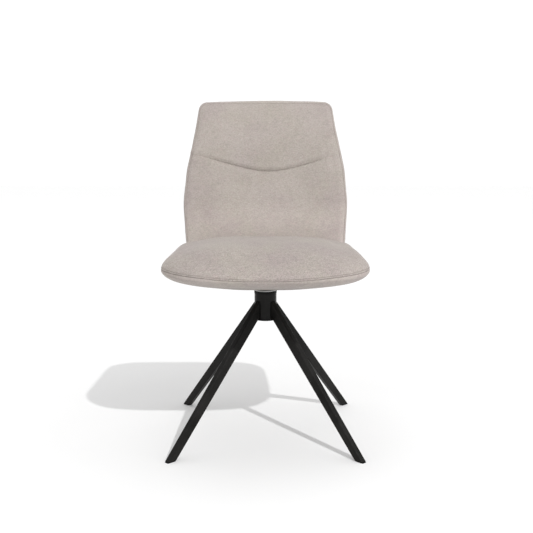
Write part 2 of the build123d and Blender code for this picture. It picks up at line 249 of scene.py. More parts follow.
def powder_coat(name, offset=(0, 0, 0), tone_and_painted_light=1.0, gloss=0.13, rough=(0.27, 0.42)):
    # satin black powder coat: fine orange peel, slight change of tone from
    # place to place, a few dust specks, convex corners painted a little brighter in patches as a highlight
    g = Graph(name)
    vec = g.mapping(loc=offset)
    peel = g.noise(520.0, 2.0, 0.5, vec)
    broad = g.noise(14.0, 3.0, 0.55, vec)
    speck = g.noise(1500.0, 1.0, 0.5, vec)
    base = g.ramp(broad, [(0.35, tuple(c * tone_and_painted_light for c in (0.0052, 0.0049, 0.0045))), (0.65, tuple(c * tone_and_painted_light for c in (0.0080, 0.0075, 0.0068)))])
    base = g.mix(g.range(speck, 0.0, 0.30, 0.64, 0.82), base, (0.018, 0.0175, 0.017))
    # convex corners painted brighter: painted highlight
    edge_highlight = g.t.nodes.new("ShaderNodeNewGeometry").outputs["Pointiness"]
    base = g.mix(g.math("MULTIPLY", g.range(edge_highlight, 0.0, 1.0, 0.53, 0.60), g.range(broad, 0.15, 0.6, 0.3, 0.7)), base, (0.024, 0.023, 0.022))
    g.set(Base_Color=base, Roughness=g.range(g.math("ADD", g.math("MULTIPLY", broad, 0.6), g.math("MULTIPLY", peel, 0.4)),
                                             rough[0], rough[1], 0.3, 0.7),
          Specular_IOR_Level=gloss)
    g.set(Normal=g.bump(peel, 0.14, 0.0005))
    return g.mat


def moulded(name, colour, rough=0.5, grain=900.0, spec=0.4):
    g = Graph(name)
    fine = g.voronoi(grain, "SMOOTH_F1")
    soft = g.noise(40.0, 2.0, 0.5)
    g.set(Base_Color=g.ramp(soft, [(0.35, tuple(c * 0.9 for c in colour)), (0.65, tuple(c * 1.1 for c in colour))]),
          Roughness=g.range(soft, rough - 0.05, rough + 0.08, 0.3, 0.7), Specular_IOR_Level=spec)
    g.set(Normal=g.bump(fine, 0.20, 0.0003))
    return g.mat


def zinc(name):
    g = Graph(name)
    flow = g.noise(60.0, 3.0, 0.6)
    turned = g.noise(400.0, 2.0, 0.5, g.mapping(scale=(1, 1, 9)))
    g.set(Base_Color=g.ramp(flow, [(0.3, (0.52, 0.53, 0.55)), (0.7, (0.66, 0.66, 0.65))]), Metallic=1.0,
          Roughness=g.range(turned, 0.24, 0.42, 0.3, 0.7))
    g.set(Normal=g.bump(turned, 0.12, 0.0003))
    return g.mat


def plywood(name):
    g = Graph(name)
    grain = g.noise(30.0, 6.0, 0.62, g.mapping(scale=(1.0, 9.0, 1.0)), 0.8)
    ply = g.t.nodes.new("ShaderNodeTexWave")
    ply.wave_type, ply.bands_direction, ply.wave_profile = "BANDS", "Z", "SIN"
    ply.inputs["Scale"].default_value = 210.0
    ply.inputs["Distortion"].default_value = 1.2
    g.link(g.coord, ply.inputs["Vector"])
    wood = g.ramp(grain, [(0.3, (0.42, 0.27, 0.14)), (0.55, (0.60, 0.42, 0.25)), (0.75, (0.68, 0.52, 0.34))])
    g.set(Base_Color=g.mix(g.range(ply.outputs["Fac"], 0.0, 0.30), wood, (0.30, 0.19, 0.10)),
          Roughness=g.range(grain, 0.55, 0.72), Specular_IOR_Level=0.3)
    g.set(Normal=g.bump(grain, 0.25, 0.0005))
    return g.mat


def nonwoven(name):
    # black spun-bonded cloth: felted fibres and a grid of pressed points
    g = Graph(name)
    fibre = g.noise(420.0, 4.0, 0.65, g.mapping(scale=(1.0, 2.2, 1.0)), 1.2)
    dots = g.voronoi(620.0, "F1", "Distance", rand=0.12)
    g.set(Base_Color=g.ramp(fibre, [(0.3, (0.012, 0.012, 0.013)), (0.7, (0.034, 0.034, 0.035))]),
          Roughness=g.range(fibre, 0.72, 0.92), Specular_IOR_Level=0.3, Sheen_Weight=0.15, Sheen_Roughness=0.5)
    g.set(Normal=g.bump(dots, 0.35, 0.0004, g.bump(fibre, 0.3, 0.0004)))
    return g.mat


def open_foam(name):
    g = Graph(name)
    cell = g.voronoi(520.0)
    g.set(Base_Color=g.ramp(cell, [(0.1, (0.60, 0.57, 0.46)), (0.6, (0.80, 0.78, 0.68))]), Roughness=0.95,
          Specular_IOR_Level=0.1, Normal=g.bump(cell, 0.6, 0.001))
    return g.mat


# the back cloth is painted lighter low down and darker higher up: painted light and shade
FABRIC = suede("greige_fabric", painted_shade=1.0, grain_gain=0.95,
               tone_and_painted_light=[(0.50, 1.16), (0.55, 1.11), (0.61, 0.905), (0.69, 0.855), (0.86, 0.845)])
# seat and band: the same cloth painted darker, as painted shade against the stronger light they get in this scene
FABRIC_SEAT = suede("greige_fabric_seat", (0.17, 0.45, 0.09), 0.86, 1.65, True)
# the band is painted darker towards its lower edge: painted shade under the seat
FABRIC_BAND = suede("greige_fabric_band", (0.37, 0.21, 0.53), 0.925, 1.1,
                    tone_and_painted_light=[(0.424, 0.62), (0.430, 0.68), (0.436, 0.83), (0.444, 0.96), (0.452, 1.01)])
# the same cloth made much darker where it is pressed into a seam: painted shade in the grooves
FABRIC_SEAM_SHADE = suede("greige_fabric_seam_shade", (0.37, 0.21, 0.53), 0.60, 0.6)
THREAD = thread("seam_thread", (0.285, 0.248, 0.228))
BLACK = powder_coat("black_powder_coat")
# legs, column tube and welds are darker copies of the same coat as painted shade: the legs a little darker, the column
# much darker as painted dark reflection, the welds darkest as the lines of shade where the legs meet the column
BLACK_LEGS = powder_coat("black_powder_coat_legs", (0.3, 0.1, 0.2), 0.80, 0.08, (0.26, 0.42))
BLACK_HUB_SHADE = powder_coat("black_powder_coat_hub_shade", (0.7, 0.4, 0.1), 0.32, 0.095, (0.15, 0.27))
BLACK_WELD_SHADE = powder_coat("black_powder_coat_welds_shade", (0.2, 0.9, 0.4), 0.25, 0.04, (0.40, 0.55))
PLASTIC = moulded("black_plastic", (0.0034, 0.0033, 0.0032), 0.46, spec=0.11)
BEARING = moulded("bearing_grey", (0.58, 0.58, 0.57), 0.34, 1500.0, 0.5)
ZINC = zinc("zinc_plated_steel")
PLY = plywood("raw_plywood")
DUST = nonwoven("black_nonwoven")
FOAM = open_foam("open_cell_foam")


# ------------------------------------------------------------------ mesh helpers
def smooth01(x, a, b):
    t = np.clip((np.asarray(x, float) - a) / (b - a), 0.0, 1.0)
    return t * t * (3 - 2 * t)


def fillet_path(corners, arc_n=40, line_n=40):
    # closed outline with tangent arcs at its corners; the same number of
    # points falls on every arc and on every straight, whatever the sizes
    P = [np.array(c[:2], float) for c in corners]
    m = len(P)
    arcs = []
    for i in range(m):
        a, b, c = P[i - 1], P[i], P[(i + 1) % m]
        r = corners[i][2]
        u1 = (a - b) / np.linalg.norm(a - b)
        u2 = (c - b) / np.linalg.norm(c - b)
        ang = math.acos(max(-1.0, min(1.0, float(u1 @ u2))))
        t = r / math.tan(ang / 2)
        p1 = b + u1 * t
        bis = (u1 + u2) / np.linalg.norm(u1 + u2)
        ce = b + bis * r / math.sin(ang / 2)
        a1 = math.atan2(*(p1 - ce)[::-1])
        a2 = math.atan2(*(b + u2 * t - ce)[::-1])
        d = (a2 - a1 + math.pi) % (2 * math.pi) - math.pi
        arcs.append([ce + r * np.array([math.cos(a1 + d * k / arc_n), math.sin(a1 + d * k / arc_n)]) for k in range(arc_n + 1)])
    out = []
    for i in range(m):
        out += arcs[i]
        p, q = arcs[i][-1], arcs[(i + 1) % m][0]
        out += [p + (q - p) * k / line_n for k in range(1, line_n)]
    return np.array(out)


def soften(P, sigma):
    # even spacing, then a running mean along the closed outline
    n = 1600
    Q = np.vstack([P, P[:1]])
    L = np.r_[0, np.cumsum(np.linalg.norm(np.diff(Q, axis=0), axis=1))]
    s = np.linspace(0, L[-1], n, endpoint=False)
    E = np.c_[np.interp(s, L, Q[:, 0]), np.interp(s, L, Q[:, 1])]
    w = int(max(2, 3 * sigma / (L[-1] / n)))
    k = np.exp(-0.5 * (np.arange(-w, w + 1) * (L[-1] / n) / sigma) ** 2)
    k /= k.sum()
    return np.c_[np.convolve(np.r_[E[-w:, 0], E[:, 0], E[:w, 0]], k, "valid"),
                 np.convolve(np.r_[E[-w:, 1], E[:, 1], E[:w, 1]], k, "valid")]


def faces_of_grid(idx):
    # idx: 2D array of vertex numbers
    a, b, c, d = idx[:-1, :-1], idx[1:, :-1], idx[1:, 1:], idx[:-1, 1:]
    return np.stack([a, b, c, d], -1).reshape(-1, 4)


def faces_of_rings(rows):
    # rows: list of equally long closed rows of vertex numbers
    out = []
    for r0, r1 in zip(rows[:-1], rows[1:]):
        out.append(np.stack([r0, r1, np.roll(r1, -1), np.roll(r0, -1)], -1))
    return np.vstack(out)


def make_mesh(name, verts_mm, faces, mats, mat_index=None, smooth=True):
    me = bpy.data.meshes.new(name)
    me.from_pydata((np.asarray(verts_mm) * MM).tolist(), [], [list(map(int, f)) for f in faces])
    me.validate()
    me.update()
    for m in mats:
        me.materials.append(m)
    if mat_index is not None:
        me.polygons.foreach_set("material_index", np.asarray(mat_index, np.int32))
    me.polygons.foreach_set("use_smooth", [smooth] * len(me.polygons))
    ob = bpy.data.objects.new(name, me)
    SCENE.collection.objects.link(ob)
    return ob


def normals_out(ob):
    bm = bmesh.new()
    bm.from_mesh(ob.data)
    bmesh.ops.recalc_face_normals(bm, faces=bm.faces)
    if bm.calc_volume(signed=True) < 0:
        bmesh.ops.reverse_faces(bm, faces=bm.faces)
    bm.to_mesh(ob.data)
    bm.free()
    ob.data.update()


def coords(ob):
    co = np.empty(len(ob.data.vertices) * 3, np.float64)
    ob.data.vertices.foreach_get("co", co)
    return co.reshape(-1, 3) / MM


def set_coords(ob, co):
    ob.data.vertices.foreach_set("co", (np.asarray(co) * MM).ravel())
    ob.data.update()


def vertex_normals(ob):
    n = np.empty(len(ob.data.vertices) * 3, np.float64)
    ob.data.vertices.foreach_get("normal", n)
    return n.reshape(-1, 3)


def relax(co, edges, rounds, keep=None):
    # plain averaging with the neighbours; keep holds the weight that stays
    n = len(co)
    a, b = edges[:, 0], edges[:, 1]
    deg = np.bincount(np.r_[a, b], minlength=n)[:, None]
    for _ in range(rounds):
        s = np.zeros_like(co)
        for k in range(co.shape[1]):
            s[:, k] = np.bincount(a, co[b, k], n) + np.bincount(b, co[a, k], n)
        avg = s / np.maximum(deg, 1)
        co = co * 0.5 + avg * 0.5 if keep is None else co * keep + avg * (1 - keep)
    return co


def edge_array(ob):
    e = np.empty(len(ob.data.edges) * 2, np.int32)
    ob.data.edges.foreach_get("vertices", e)
    return e.reshape(-1, 2)


def inflate(ob, pin_weight, voxel, shrink, pressure, cap, frames=20, tension=12.0, bending=0.6):
    """Cloth run on a remeshed copy of a closed piece. pin_weight takes points and
    gives 0 to 1. Returns the copy's first points, its triangles and how far each
    point has moved from the unshrunk shape, in millimetres."""
    me = ob.data.copy()
    tmp = bpy.data.objects.new(ob.name + "_cloth", me)
    SCENE.collection.objects.link(tmp)
    for o in SCENE.objects:
        o.select_set(False)
    bpy.context.view_layer.objects.active = tmp
    tmp.select_set(True)
    rm = tmp.modifiers.new("remesh", "REMESH")
    rm.mode = "VOXEL"
    rm.voxel_size = voxel * MM
    bpy.ops.object.modifier_apply(modifier="remesh")
    start = coords(tmp)
    start = relax(start, edge_array(tmp), 3)
    set_coords(tmp, start)
    nor = vertex_normals(tmp)
    pin = np.clip(pin_weight(start), 0.0, 1.0)
    set_coords(tmp, start - nor * (shrink * (1 - pin))[:, None])
    first = coords(tmp)
    vg = tmp.vertex_groups.new(name="pin")
    for q in range(21):
        w = q / 20.0
        ids = np.nonzero(np.abs(pin - w) <= 0.025)[0]
        if len(ids) and w > 0:
            vg.add([int(i) for i in ids], w, "REPLACE")
    cl = tmp.modifiers.new("cloth", "CLOTH")
    st = cl.settings
    st.quality = 6
    st.mass = 0.25
    st.tension_stiffness = tension
    st.compression_stiffness = tension
    st.shear_stiffness = tension * 0.5
    st.bending_stiffness = bending
    st.use_pressure = True
    st.uniform_pressure_force = pressure
    st.vertex_group_mass = "pin"
    st.pin_stiffness = 1.0
    st.effector_weights.gravity = 0.0
    cl.collision_settings.use_self_collision = False
    cl.collision_settings.use_collision = False
    cl.point_cache.frame_start = 1
    cl.point_cache.frame_end = frames
    SCENE.frame_start, SCENE.frame_end = 1, frames
    for f in range(1, frames + 1):
        SCENE.frame_set(f)
    dg = bpy.context.evaluated_depsgraph_get()
    ev = tmp.evaluated_get(dg)
    last = np.empty(len(ev.data.vertices) * 3, np.float64)
    ev.data.vertices.foreach_get("co", last)
    last = last.reshape(-1, 3) / MM
    move = last - first
    L = np.linalg.norm(move, axis=1)
    move *= (cap * np.tanh(L / cap) / np.maximum(L, 1e-6))[:, None]
    total = first + move - start
    polys = [list(p.vertices) for p in tmp.data.polygons]
    bpy.data.objects.remove(tmp)
    bpy.data.meshes.remove(me)
    SCENE.frame_set(1)
    return start, polys, total, nor, pin


def carry(points, start, polys, field):
    """Field values at points, from the nearest spot on the simulated copy."""
    tree = BVHTree.FromPolygons([tuple(p) for p in start], polys)
    out = np.zeros((len(points), field.shape[1]))
    for i, p in enumerate(points):
        loc, _, f, _ = tree.find_nearest(Vector(p))
        ids = polys[f]
        d = np.linalg.norm(start[ids] - np.array(loc), axis=1) + 0.15
        w = 1.0 / d
        out[i] = (field[ids] * w[:, None]).sum(0) / w.sum()
    return out


def tufts(P, scale, seed):
    # smooth repeatable unevenness, a sum of slanted waves, about -1 to 1
    rng = np.random.RandomState(seed)
    v = np.zeros(len(P))
    for _ in range(9):
        d = rng.normal(size=3)
        d /= np.linalg.norm(d)
        k = 2 * math.pi / (scale * rng.uniform(0.7, 1.5))
        v += np.sin(P @ d * k + rng.uniform(0, 6.28))
    return v / 4.0


def stitches(name, line, normals, pitch, length, radius, closed=True, skip=None, sink=0.0, slant=0.0, mat=None):
    """Thread stitches along a line of points: short capsules that dip at each end."""
    P = np.asarray(line, float)
    N = np.asarray(normals, float)
    if closed:
        P, N = np.vstack([P, P[:1]]), np.vstack([N, N[:1]])
    L = np.r_[0, np.cumsum(np.linalg.norm(np.diff(P, axis=0), axis=1))]
    count = max(1, int(round(L[-1] / pitch)))
    step = L[-1] / count

    def at(s):
        return (np.array([np.interp(s, L, P[:, k]) for k in range(3)]),
                np.array([np.interp(s, L, N[:, k]) for k in range(3)]))
    verts, faces = [], []
    sides, rings = 6, 5
    for q in range(count):
        mid = (q + 0.5) * step
        p0, n0 = at(mid)
        if skip is not None and skip(p0):
            continue
        base = len(verts)
        half = length / 2
        t = at(min(mid + 1.0, L[-1]))[0] - at(max(mid - 1.0, 0))[0]
        t /= np.linalg.norm(t)
        n = n0 - t * (n0 @ t)
        n /= np.linalg.norm(n)
        b = np.cross(t, n)
        t = t + b * slant
        t /= np.linalg.norm(t)
        b = np.cross(t, n)
        for k in range(rings):
            u = -1 + 2 * k / (rings - 1)
            rr = radius * (0.45 if abs(u) > 0.99 else 1.0)
            dip = -radius * 1.5 * u * u - sink
            c = p0 + t * (u * half) + n * dip
            for j in range(sides):
                a = 2 * math.pi * j / sides
                verts.append(c + (n * math.cos(a) + b * math.sin(a)) * rr)
        for k in range(rings - 1):
            for j in range(sides):
                j2 = (j + 1) % sides
                faces.append([base + k * sides + j, base + k * sides + j2, base + (k + 1) * sides + j2, base + (k + 1) * sides + j])
        faces.append([base + j for j in range(sides)][::-1])
        faces.append([base + (rings - 1) * sides + j for j in range(sides)])
    ob = make_mesh(name, verts, faces, [mat or THREAD])
    normals_out(ob)
    return ob


# ------------------------------------------------------------------ seat cushion
SEAT_HALF = [(76, -311.5, 285), (203, -297.5, 126), (251.6, -208.5, 113), (231.4, 146, 90)]
LOW_HALF = [(60, -247), (110, -226), (150, -192), (180, -150), (192, -100), (190, 0), (184, 88), (165, 117), (120, 124)]
SEAT_C = np.array([0.0, -60.0])
EDGE_FRONT, EDGE_REAR = 457.2, 475.7
CROWN = 516.0


def mirrored(half):
    return list(half) + [(-c[0], *c[1:]) for c in reversed(half)]


seat_line = soften(fillet_path(mirrored(SEAT_HALF)), 6.0)


def polar_reader(P, centre, sigma=0.0):
    th = np.arctan2(P[:, 1] - centre[1], P[:, 0] - centre[0])
    r = np.hypot(P[:, 0] - centre[0], P[:, 1] - centre[1])
    o = np.argsort(th)
    th, r = th[o], r[o]
    grid = np.linspace(-math.pi, math.pi, 1441)[:-1]
    v = np.interp(grid, th, r, period=2 * math.pi)
    if sigma:
        w = int(3 * sigma / 0.25)
        k = np.exp(-0.5 * (np.arange(-w, w + 1) * 0.25 / sigma) ** 2)
        k /= k.sum()
        v = np.convolve(np.r_[v[-w:], v, v[:w]], k, "valid")
    return lambda t: np.interp(t, grid, v, period=2 * math.pi)


low_dense = fillet_path([(*c, 4.0) for c in mirrored(LOW_HALF)], 4, 60)
seat_R = polar_reader(seat_line, SEAT_C)
low_R = polar_reader(low_dense, SEAT_C, 4.5)


def seat_edge_z(theta):
    y = SEAT_C[1] + np.sin(theta) * seat_R(theta)
    w = np.clip((y + 311) / 457.0, 0, 1)
    return EDGE_FRONT + (EDGE_REAR - EDGE_FRONT) * w * (2 - w)


def seat_top_z(x, y):
    dx, dy = x - SEAT_C[0], y - SEAT_C[1]
    th = np.arctan2(dy, dx)
    t = np.clip(np.hypot(dx, dy) / seat_R(th), 0, 1)
    s2 = np.sin(th) ** 2
    ac = np.where(np.sin(th) < 0, 2.32, 6.1) * s2 + 5.3 * (1 - s2)
    g = (1 - t ** ac) ** (1 / 1.89)
    ze = seat_edge_z(th)
    return ze + (CROWN - ze) * g


def folded(theta):
    # polar angle with the left half mirrored onto the right, in degrees
    th = np.degrees(np.arctan2(np.sin(theta), np.abs(np.cos(theta))))
    return th


def eased(x, xs, ys):
    # monotone cubic through a few knots
    xs, ys = np.asarray(xs, float), np.asarray(ys, float)
    h, dl = np.diff(xs), np.diff(ys) / np.diff(xs)
    m = np.zeros(len(xs))
    for i in range(1, len(xs) - 1):
        if dl[i - 1] * dl[i] > 0:
            w1, w2 = 2 * h[i] + h[i - 1], h[i] + 2 * h[i - 1]
            m[i] = (w1 + w2) / (w1 / dl[i - 1] + w2 / dl[i])
    x = np.clip(np.asarray(x, float), xs[0], xs[-1])
    i = np.clip(np.searchsorted(xs, x) - 1, 0, len(xs) - 2)
    t = (x - xs[i]) / h[i]
    return ((2 * t ** 3 - 3 * t ** 2 + 1) * ys[i] + (t ** 3 - 2 * t ** 2 + t) * h[i] * m[i]
            + (-2 * t ** 3 + 3 * t ** 2) * ys[i + 1] + (t ** 3 - t ** 2) * h[i] * m[i + 1])


def seam_height(theta):
    # the seam dips in the middle of the front and climbs round the corners
    return eased(folded(theta), [-90, -70, -57, -44, -30, 0, 45, 90], [453.4, 455.6, 461.2, 465.6, 467.2, 469.0, 470.8, 471.5])


def seam_z(theta):
    return np.minimum(seam_height(theta), seat_edge_z(theta) + 4.5)


def roll_power(theta):
    return eased(folded(theta), [-90, -45, 0, 90], [2.55, 1.69, 0.85, 1.8])


def arc_positions(P, anchors, n):
    # closed line P; anchors are the four places where the sides begin
    Q = np.vstack([P, P[:1]])
    L = np.r_[0, np.cumsum(np.linalg.norm(np.diff(Q, axis=0), axis=1))]
    tot = L[-1]
    s0 = [L[int(np.argmin(np.linalg.norm(P - np.array(a), axis=1)))] for a in anchors]
    out = []
    for i in range(4):
        a, b = s0[i], s0[(i + 1) % 4]
        d = (b - a) % tot
        k = n[i % 2]
        out += [(a + d * j / k) % tot for j in range(k)]
    s = np.array(out)
    return np.c_[np.interp(s, L, Q[:, 0]), np.interp(s, L, Q[:, 1])]


def oriented(P):
    # counter-clockwise
    x, y = P[:, 0], P[:, 1]
    area = 0.5 * np.sum(x * np.roll(y, -1) - np.roll(x, -1) * y)
    return P if area > 0 else P[::-1]


def coons(ring, na, nb):
    # ring: closed boundary of 2*(na+nb) points that starts at the (0,0) corner
    bottom = ring[:na + 1]
    right = ring[na:na + nb + 1]
    top = ring[na + nb:2 * na + nb + 1][::-1]
    left = np.vstack([ring[2 * na + nb:], ring[:1]])[::-1]
    a = np.linspace(0, 1, na + 1)[:, None, None]
    la = np.r_[0, np.cumsum(np.linalg.norm(np.diff(left, axis=0), axis=1))]
    b = (la / la[-1])[None, :, None]
    P = ((1 - b) * bottom[:, None] + b * top[:, None] + (1 - a) * left[None] + a * right[None]
         - (1 - a) * (1 - b) * bottom[0] - a * (1 - b) * bottom[-1] - (1 - a) * b * top[0] - a * b * top[-1])
    return P


def ring_index(na, nb):
    ids = np.arange((na + 1) * (nb + 1)).reshape(na + 1, nb + 1)
    return np.r_[ids[:na, 0], ids[na, :nb], ids[na:0:-1, nb], ids[0, nb:0:-1]], ids


NEAR = [0.3, 0.6, 0.95, 1.4, 2.0, 2.8, 3.5, 3.95, 4.3, 4.6, 4.9, 5.25, 5.7, 6.4, 7.6, 9.4, 12.0]
NEAR_UP = [-v for v in reversed(NEAR)]
NEAR_DOWN = [0.3, 0.6, 0.95, 1.4, 2.0, 2.8, 3.8, 5.2, 7.2, 9.6, 12.0]
SEAM_ROWS = NEAR_UP + [0.0] + NEAR_DOWN
TOPSTITCH = -4.6

na, nb = 92, 76
ring2 = oriented(arc_positions(oriented(seat_line), [(-214, -255), (214, -255), (214, 130), (-214, 130)], (na, nb)))
theta = np.arctan2(ring2[:, 1] - SEAT_C[1], ring2[:, 0] - SEAT_C[0])
NR = len(theta)
direc = np.c_[np.cos(theta), np.sin(theta)]
R_out, R_low, Z_edge = seat_R(theta), low_R(theta), seat_edge_z(theta)
Z_seam = seam_z(theta)
POWER = roll_power(theta)
T0 = 0.80


def seat_profile(j):
    # one radial section from the dome's border round the edge to the flat underside
    t = 1 - (1 - T0) * np.linspace(1, 0, 260) ** 2
    c, s = direc[j]
    x, y = SEAT_C[0] + c * R_out[j] * t, SEAT_C[1] + s * R_out[j] * t
    r = R_out[j] * t
    z = seat_top_z(x, y)
    a = np.linspace(0, math.pi / 2, 261)[1:]
    r2 = R_out[j] - (R_out[j] - R_low[j]) * (1 - np.clip(np.cos(a), 0, 1) ** POWER[j])
    z2 = Z_edge[j] - (Z_edge[j] - 424.3) * np.sin(a)
    rr, zz = np.r_[r, r2], np.r_[z, z2]
    L = np.r_[0, np.cumsum(np.hypot(np.diff(rr), np.diff(zz)))]
    ls = np.interp(-Z_seam[j], -zz[40:], L[40:])
    return rr, zz, L - ls


profiles = [seat_profile(j) for j in range(NR)]
UP_N, DOWN_N = 20, 12
verts, rows = [], []
gridP = coons(np.c_[SEAT_C[0] + direc[:, 0] * R_out * T0, SEAT_C[1] + direc[:, 1] * R_out * T0], na, nb).reshape(-1, 2)
border, ids = ring_index(na, nb)
verts = list(np.c_[gridP, seat_top_z(gridP[:, 0], gridP[:, 1])])
rows = [border]
row_L = [None]
seat_faces = [faces_of_grid(ids)]
up_len = np.array([-p[2][0] for p in profiles])
down_len = np.array([p[2][-1] for p in profiles])
ROW_OF = {}


def add_row(values):
    pts = []
    for j in range(NR):
        rr, zz, L = profiles[j]
        r, z = np.interp(values[j], L, rr), np.interp(values[j], L, zz)
        pts.append((SEAT_C[0] + direc[j, 0] * r, SEAT_C[1] + direc[j, 1] * r, z))
    i0 = len(verts)
    verts.extend(pts)
    rows.append(np.arange(i0, i0 + NR))


for k in range(1, UP_N):
    add_row(-up_len + (up_len + SEAM_ROWS[0]) * k / UP_N)
for v in SEAM_ROWS:
    ROW_OF[v] = len(rows)
    add_row(np.full(NR, v))
for k in range(1, DOWN_N + 1):
    add_row(SEAM_ROWS[-1] + (down_len - SEAM_ROWS[-1]) * k / DOWN_N)
OUTER_ROWS = len(rows)
# the flap under the board, its turned end, and the hidden inner side that
# sits on the rails and the board
low_r = R_low


def add_plain(r, z):
    i0 = len(verts)
    rr = np.broadcast_to(r, (NR,))
    verts.extend([(SEAT_C[0] + direc[j, 0] * rr[j], SEAT_C[1] + direc[j, 1] * rr[j], z) for j in range(NR)])
    rows.append(np.arange(i0, i0 + NR))


add_plain(low_r - 7, 424.05)
add_plain(low_r - 15, 424.0)
add_plain(low_r - 19.5, 424.05)
add_plain(low_r - 20.6, 424.5)
add_plain(low_r - 20.2, 425.1)
add_plain(low_r - 12, 425.25)
add_plain(low_r + 1.0, 425.3)
add_plain(low_r + 1.5, 437.3)
add_plain(low_r + 14.0, 437.4)
add_plain(low_r + 24.5, 437.6)
add_plain(np.minimum(low_r + 24.5, R_out - 14), 450.4)
add_plain(R_out * 0.72, 450.6)
inner_ring = rows.pop()
inner = coons(np.c_[SEAT_C[0] + direc[:, 0] * R_out * 0.72, SEAT_C[1] + direc[:, 1] * R_out * 0.72], na, nb).reshape(-1, 2)
del verts[-NR:]
i0 = len(verts)
verts.extend(np.c_[inner, np.full(len(inner), 450.6)])
rows.append(border + i0)
seat_faces.append(faces_of_rings(rows))
seat_faces.append(faces_of_grid(ids + i0)[:, ::-1])
SEAT_FINE = np.array(verts, float)
SEAT_FACES = np.vstack(seat_faces)
seam_row_index = ROW_OF[0.0]
# faces along the seam and the topstitch get the darker cloth: painted shade in the grooves
SEAM_SHADE_STRIP = set(range(ROW_OF[-0.6], ROW_OF[0.6])) | set(range(ROW_OF[-4.9], ROW_OF[-4.3]))
face_mat = []
nf_grid = len(seat_faces[0])
face_mat += [0] * nf_grid
for k in range(len(rows) - 1):
    face_mat += [2 if k in SEAM_SHADE_STRIP else (0 if k < seam_row_index else 1)] * NR
face_mat += [1] * len(seat_faces[2])
seat = make_mesh("seat_cushion", SEAT_FINE, SEAT_FACES, [FABRIC_SEAT, FABRIC_BAND, FABRIC_SEAM_SHADE], face_mat)
normals_out(seat)

# distance from the seam along the surface, for the outer rows
seat_L = np.full(len(SEAT_FINE), 999.0)
for kk in range(1, UP_N):
    seat_L[rows[kk]] = -up_len + (up_len + SEAM_ROWS[0]) * kk / UP_N
for v in SEAM_ROWS:
    seat_L[rows[ROW_OF[v]]] = v
for kk in range(1, DOWN_N + 1):
    seat_L[rows[ROW_OF[SEAM_ROWS[-1]] + kk]] = SEAM_ROWS[-1] + (down_len - SEAM_ROWS[-1]) * kk / DOWN_N
outer_ids = np.unique(np.r_[np.arange((na + 1) * (nb + 1)), np.concatenate(rows[1:OUTER_ROWS])])


def plain_shell():
    # closed simple form of the cushion for the cloth run
    keep = [0] + list(range(1, UP_N + 1, 3)) + [ROW_OF[-9.4], ROW_OF[-4.6], ROW_OF[0.0], ROW_OF[5.2], ROW_OF[12.0]]
    keep += list(range(ROW_OF[12.0] + 2, OUTER_ROWS, 2))
    if keep[-1] != OUTER_ROWS - 1:
        keep.append(OUTER_ROWS - 1)
    V = [SEAT_FINE[: (na + 1) * (nb + 1)]]
    n0 = len(V[0])
    rws = [border]
    for k in keep[1:]:
        V.append(SEAT_FINE[rows[k]])
        rws.append(np.arange(n0, n0 + NR))
        n0 += NR
    low = coons(np.c_[SEAT_C[0] + direc[:, 0] * (R_low - 2), SEAT_C[1] + direc[:, 1] * (R_low - 2)], na, nb).reshape(-1, 2)
    V.append(np.c_[low, np.full(len(low), 424.2)])
    rws.append(border + n0)
    F = [faces_of_grid(ids), faces_of_rings(rws), faces_of_grid(ids + n0)[:, ::-1]]
    ob = make_mesh("seat_shell", np.vstack(V), np.vstack(F), [])
    normals_out(ob)
    return ob


def seat_pins(P):
    w = 1 - smooth01(P[:, 2], 428.0, 436.0)
    th = np.arctan2(P[:, 1] - SEAT_C[1], P[:, 0] - SEAT_C[0])
    r = np.hypot(P[:, 0] - SEAT_C[0], P[:, 1] - SEAT_C[1])
    rim = (1 - smooth01(np.abs(P[:, 2] - seam_z(th)), 2.5, 7.0)) * smooth01(r / seat_R(th), 0.86, 0.9)
    return np.maximum(w, rim)


shell = plain_shell()
start, polys, total, nor, pin = inflate(shell, seat_pins, 6.0, 5.0, 4.0, 9.0, frames=20)
bpy.data.objects.remove(shell)
out = (total * nor).sum(1)
free = pin < 0.2
mean = float(np.median(out[free & (start[:, 2] > 470)])) if free.any() else 0.0
total = total - nor * (mean * (1 - pin) * 0.92)[:, None]
# beside the seam the inward draw is cut to about a fifth
net = (total * nor).sum(1)
held = np.where(net < -0.6, -0.6 + (net + 0.6) * 0.22, net)
total = total + nor * (held - net)[:, None]
# set against the outline: crown 2.5 mm lower, shoulders 2 mm fuller
aside = np.abs(start[:, 0])
total[:, 2] -= 2.5 * smooth01(start[:, 2], 472.0, 502.0) * (1 - smooth01(aside, 192.0, 220.0)) * (1 - pin)
total = total + nor * (2.0 * smooth01(aside, 202.0, 224.0) * smooth01(start[:, 2], 474.0, 488.0) * (1 - pin))[:, None]
print("seat cloth", len(start), "points, mean swell", round(mean, 2), "spread", np.round(np.percentile(out[free], [2, 25, 50, 75, 98]), 2))
moved = carry(SEAT_FINE[outer_ids], start, polys, total)
full = np.zeros_like(SEAT_FINE)
full[outer_ids] = moved
e = edge_array(seat)
full = relax(full, e, 4)
fade = np.zeros(len(SEAT_FINE))
fade[outer_ids] = 1.0
fade *= smooth01(SEAT_FINE[:, 2], 424.5, 432.0)
set_coords(seat, SEAT_FINE + full * fade[:, None])

co = coords(seat)
nor = vertex_normals(seat)
# soft unevenness of the filling
fadeo = np.zeros(len(co))
fadeo[outer_ids] = 1.0
fadeo *= smooth01(co[:, 2], 425.0, 436.0)
wave = tufts(co, 150.0, 3) * 0.9 + tufts(co, 62.0, 4) * 0.30
calm = 1 - 0.75 * np.exp(-(seat_L / 10.0) ** 2)
co = co + nor * (wave * fadeo * calm)[:, None]
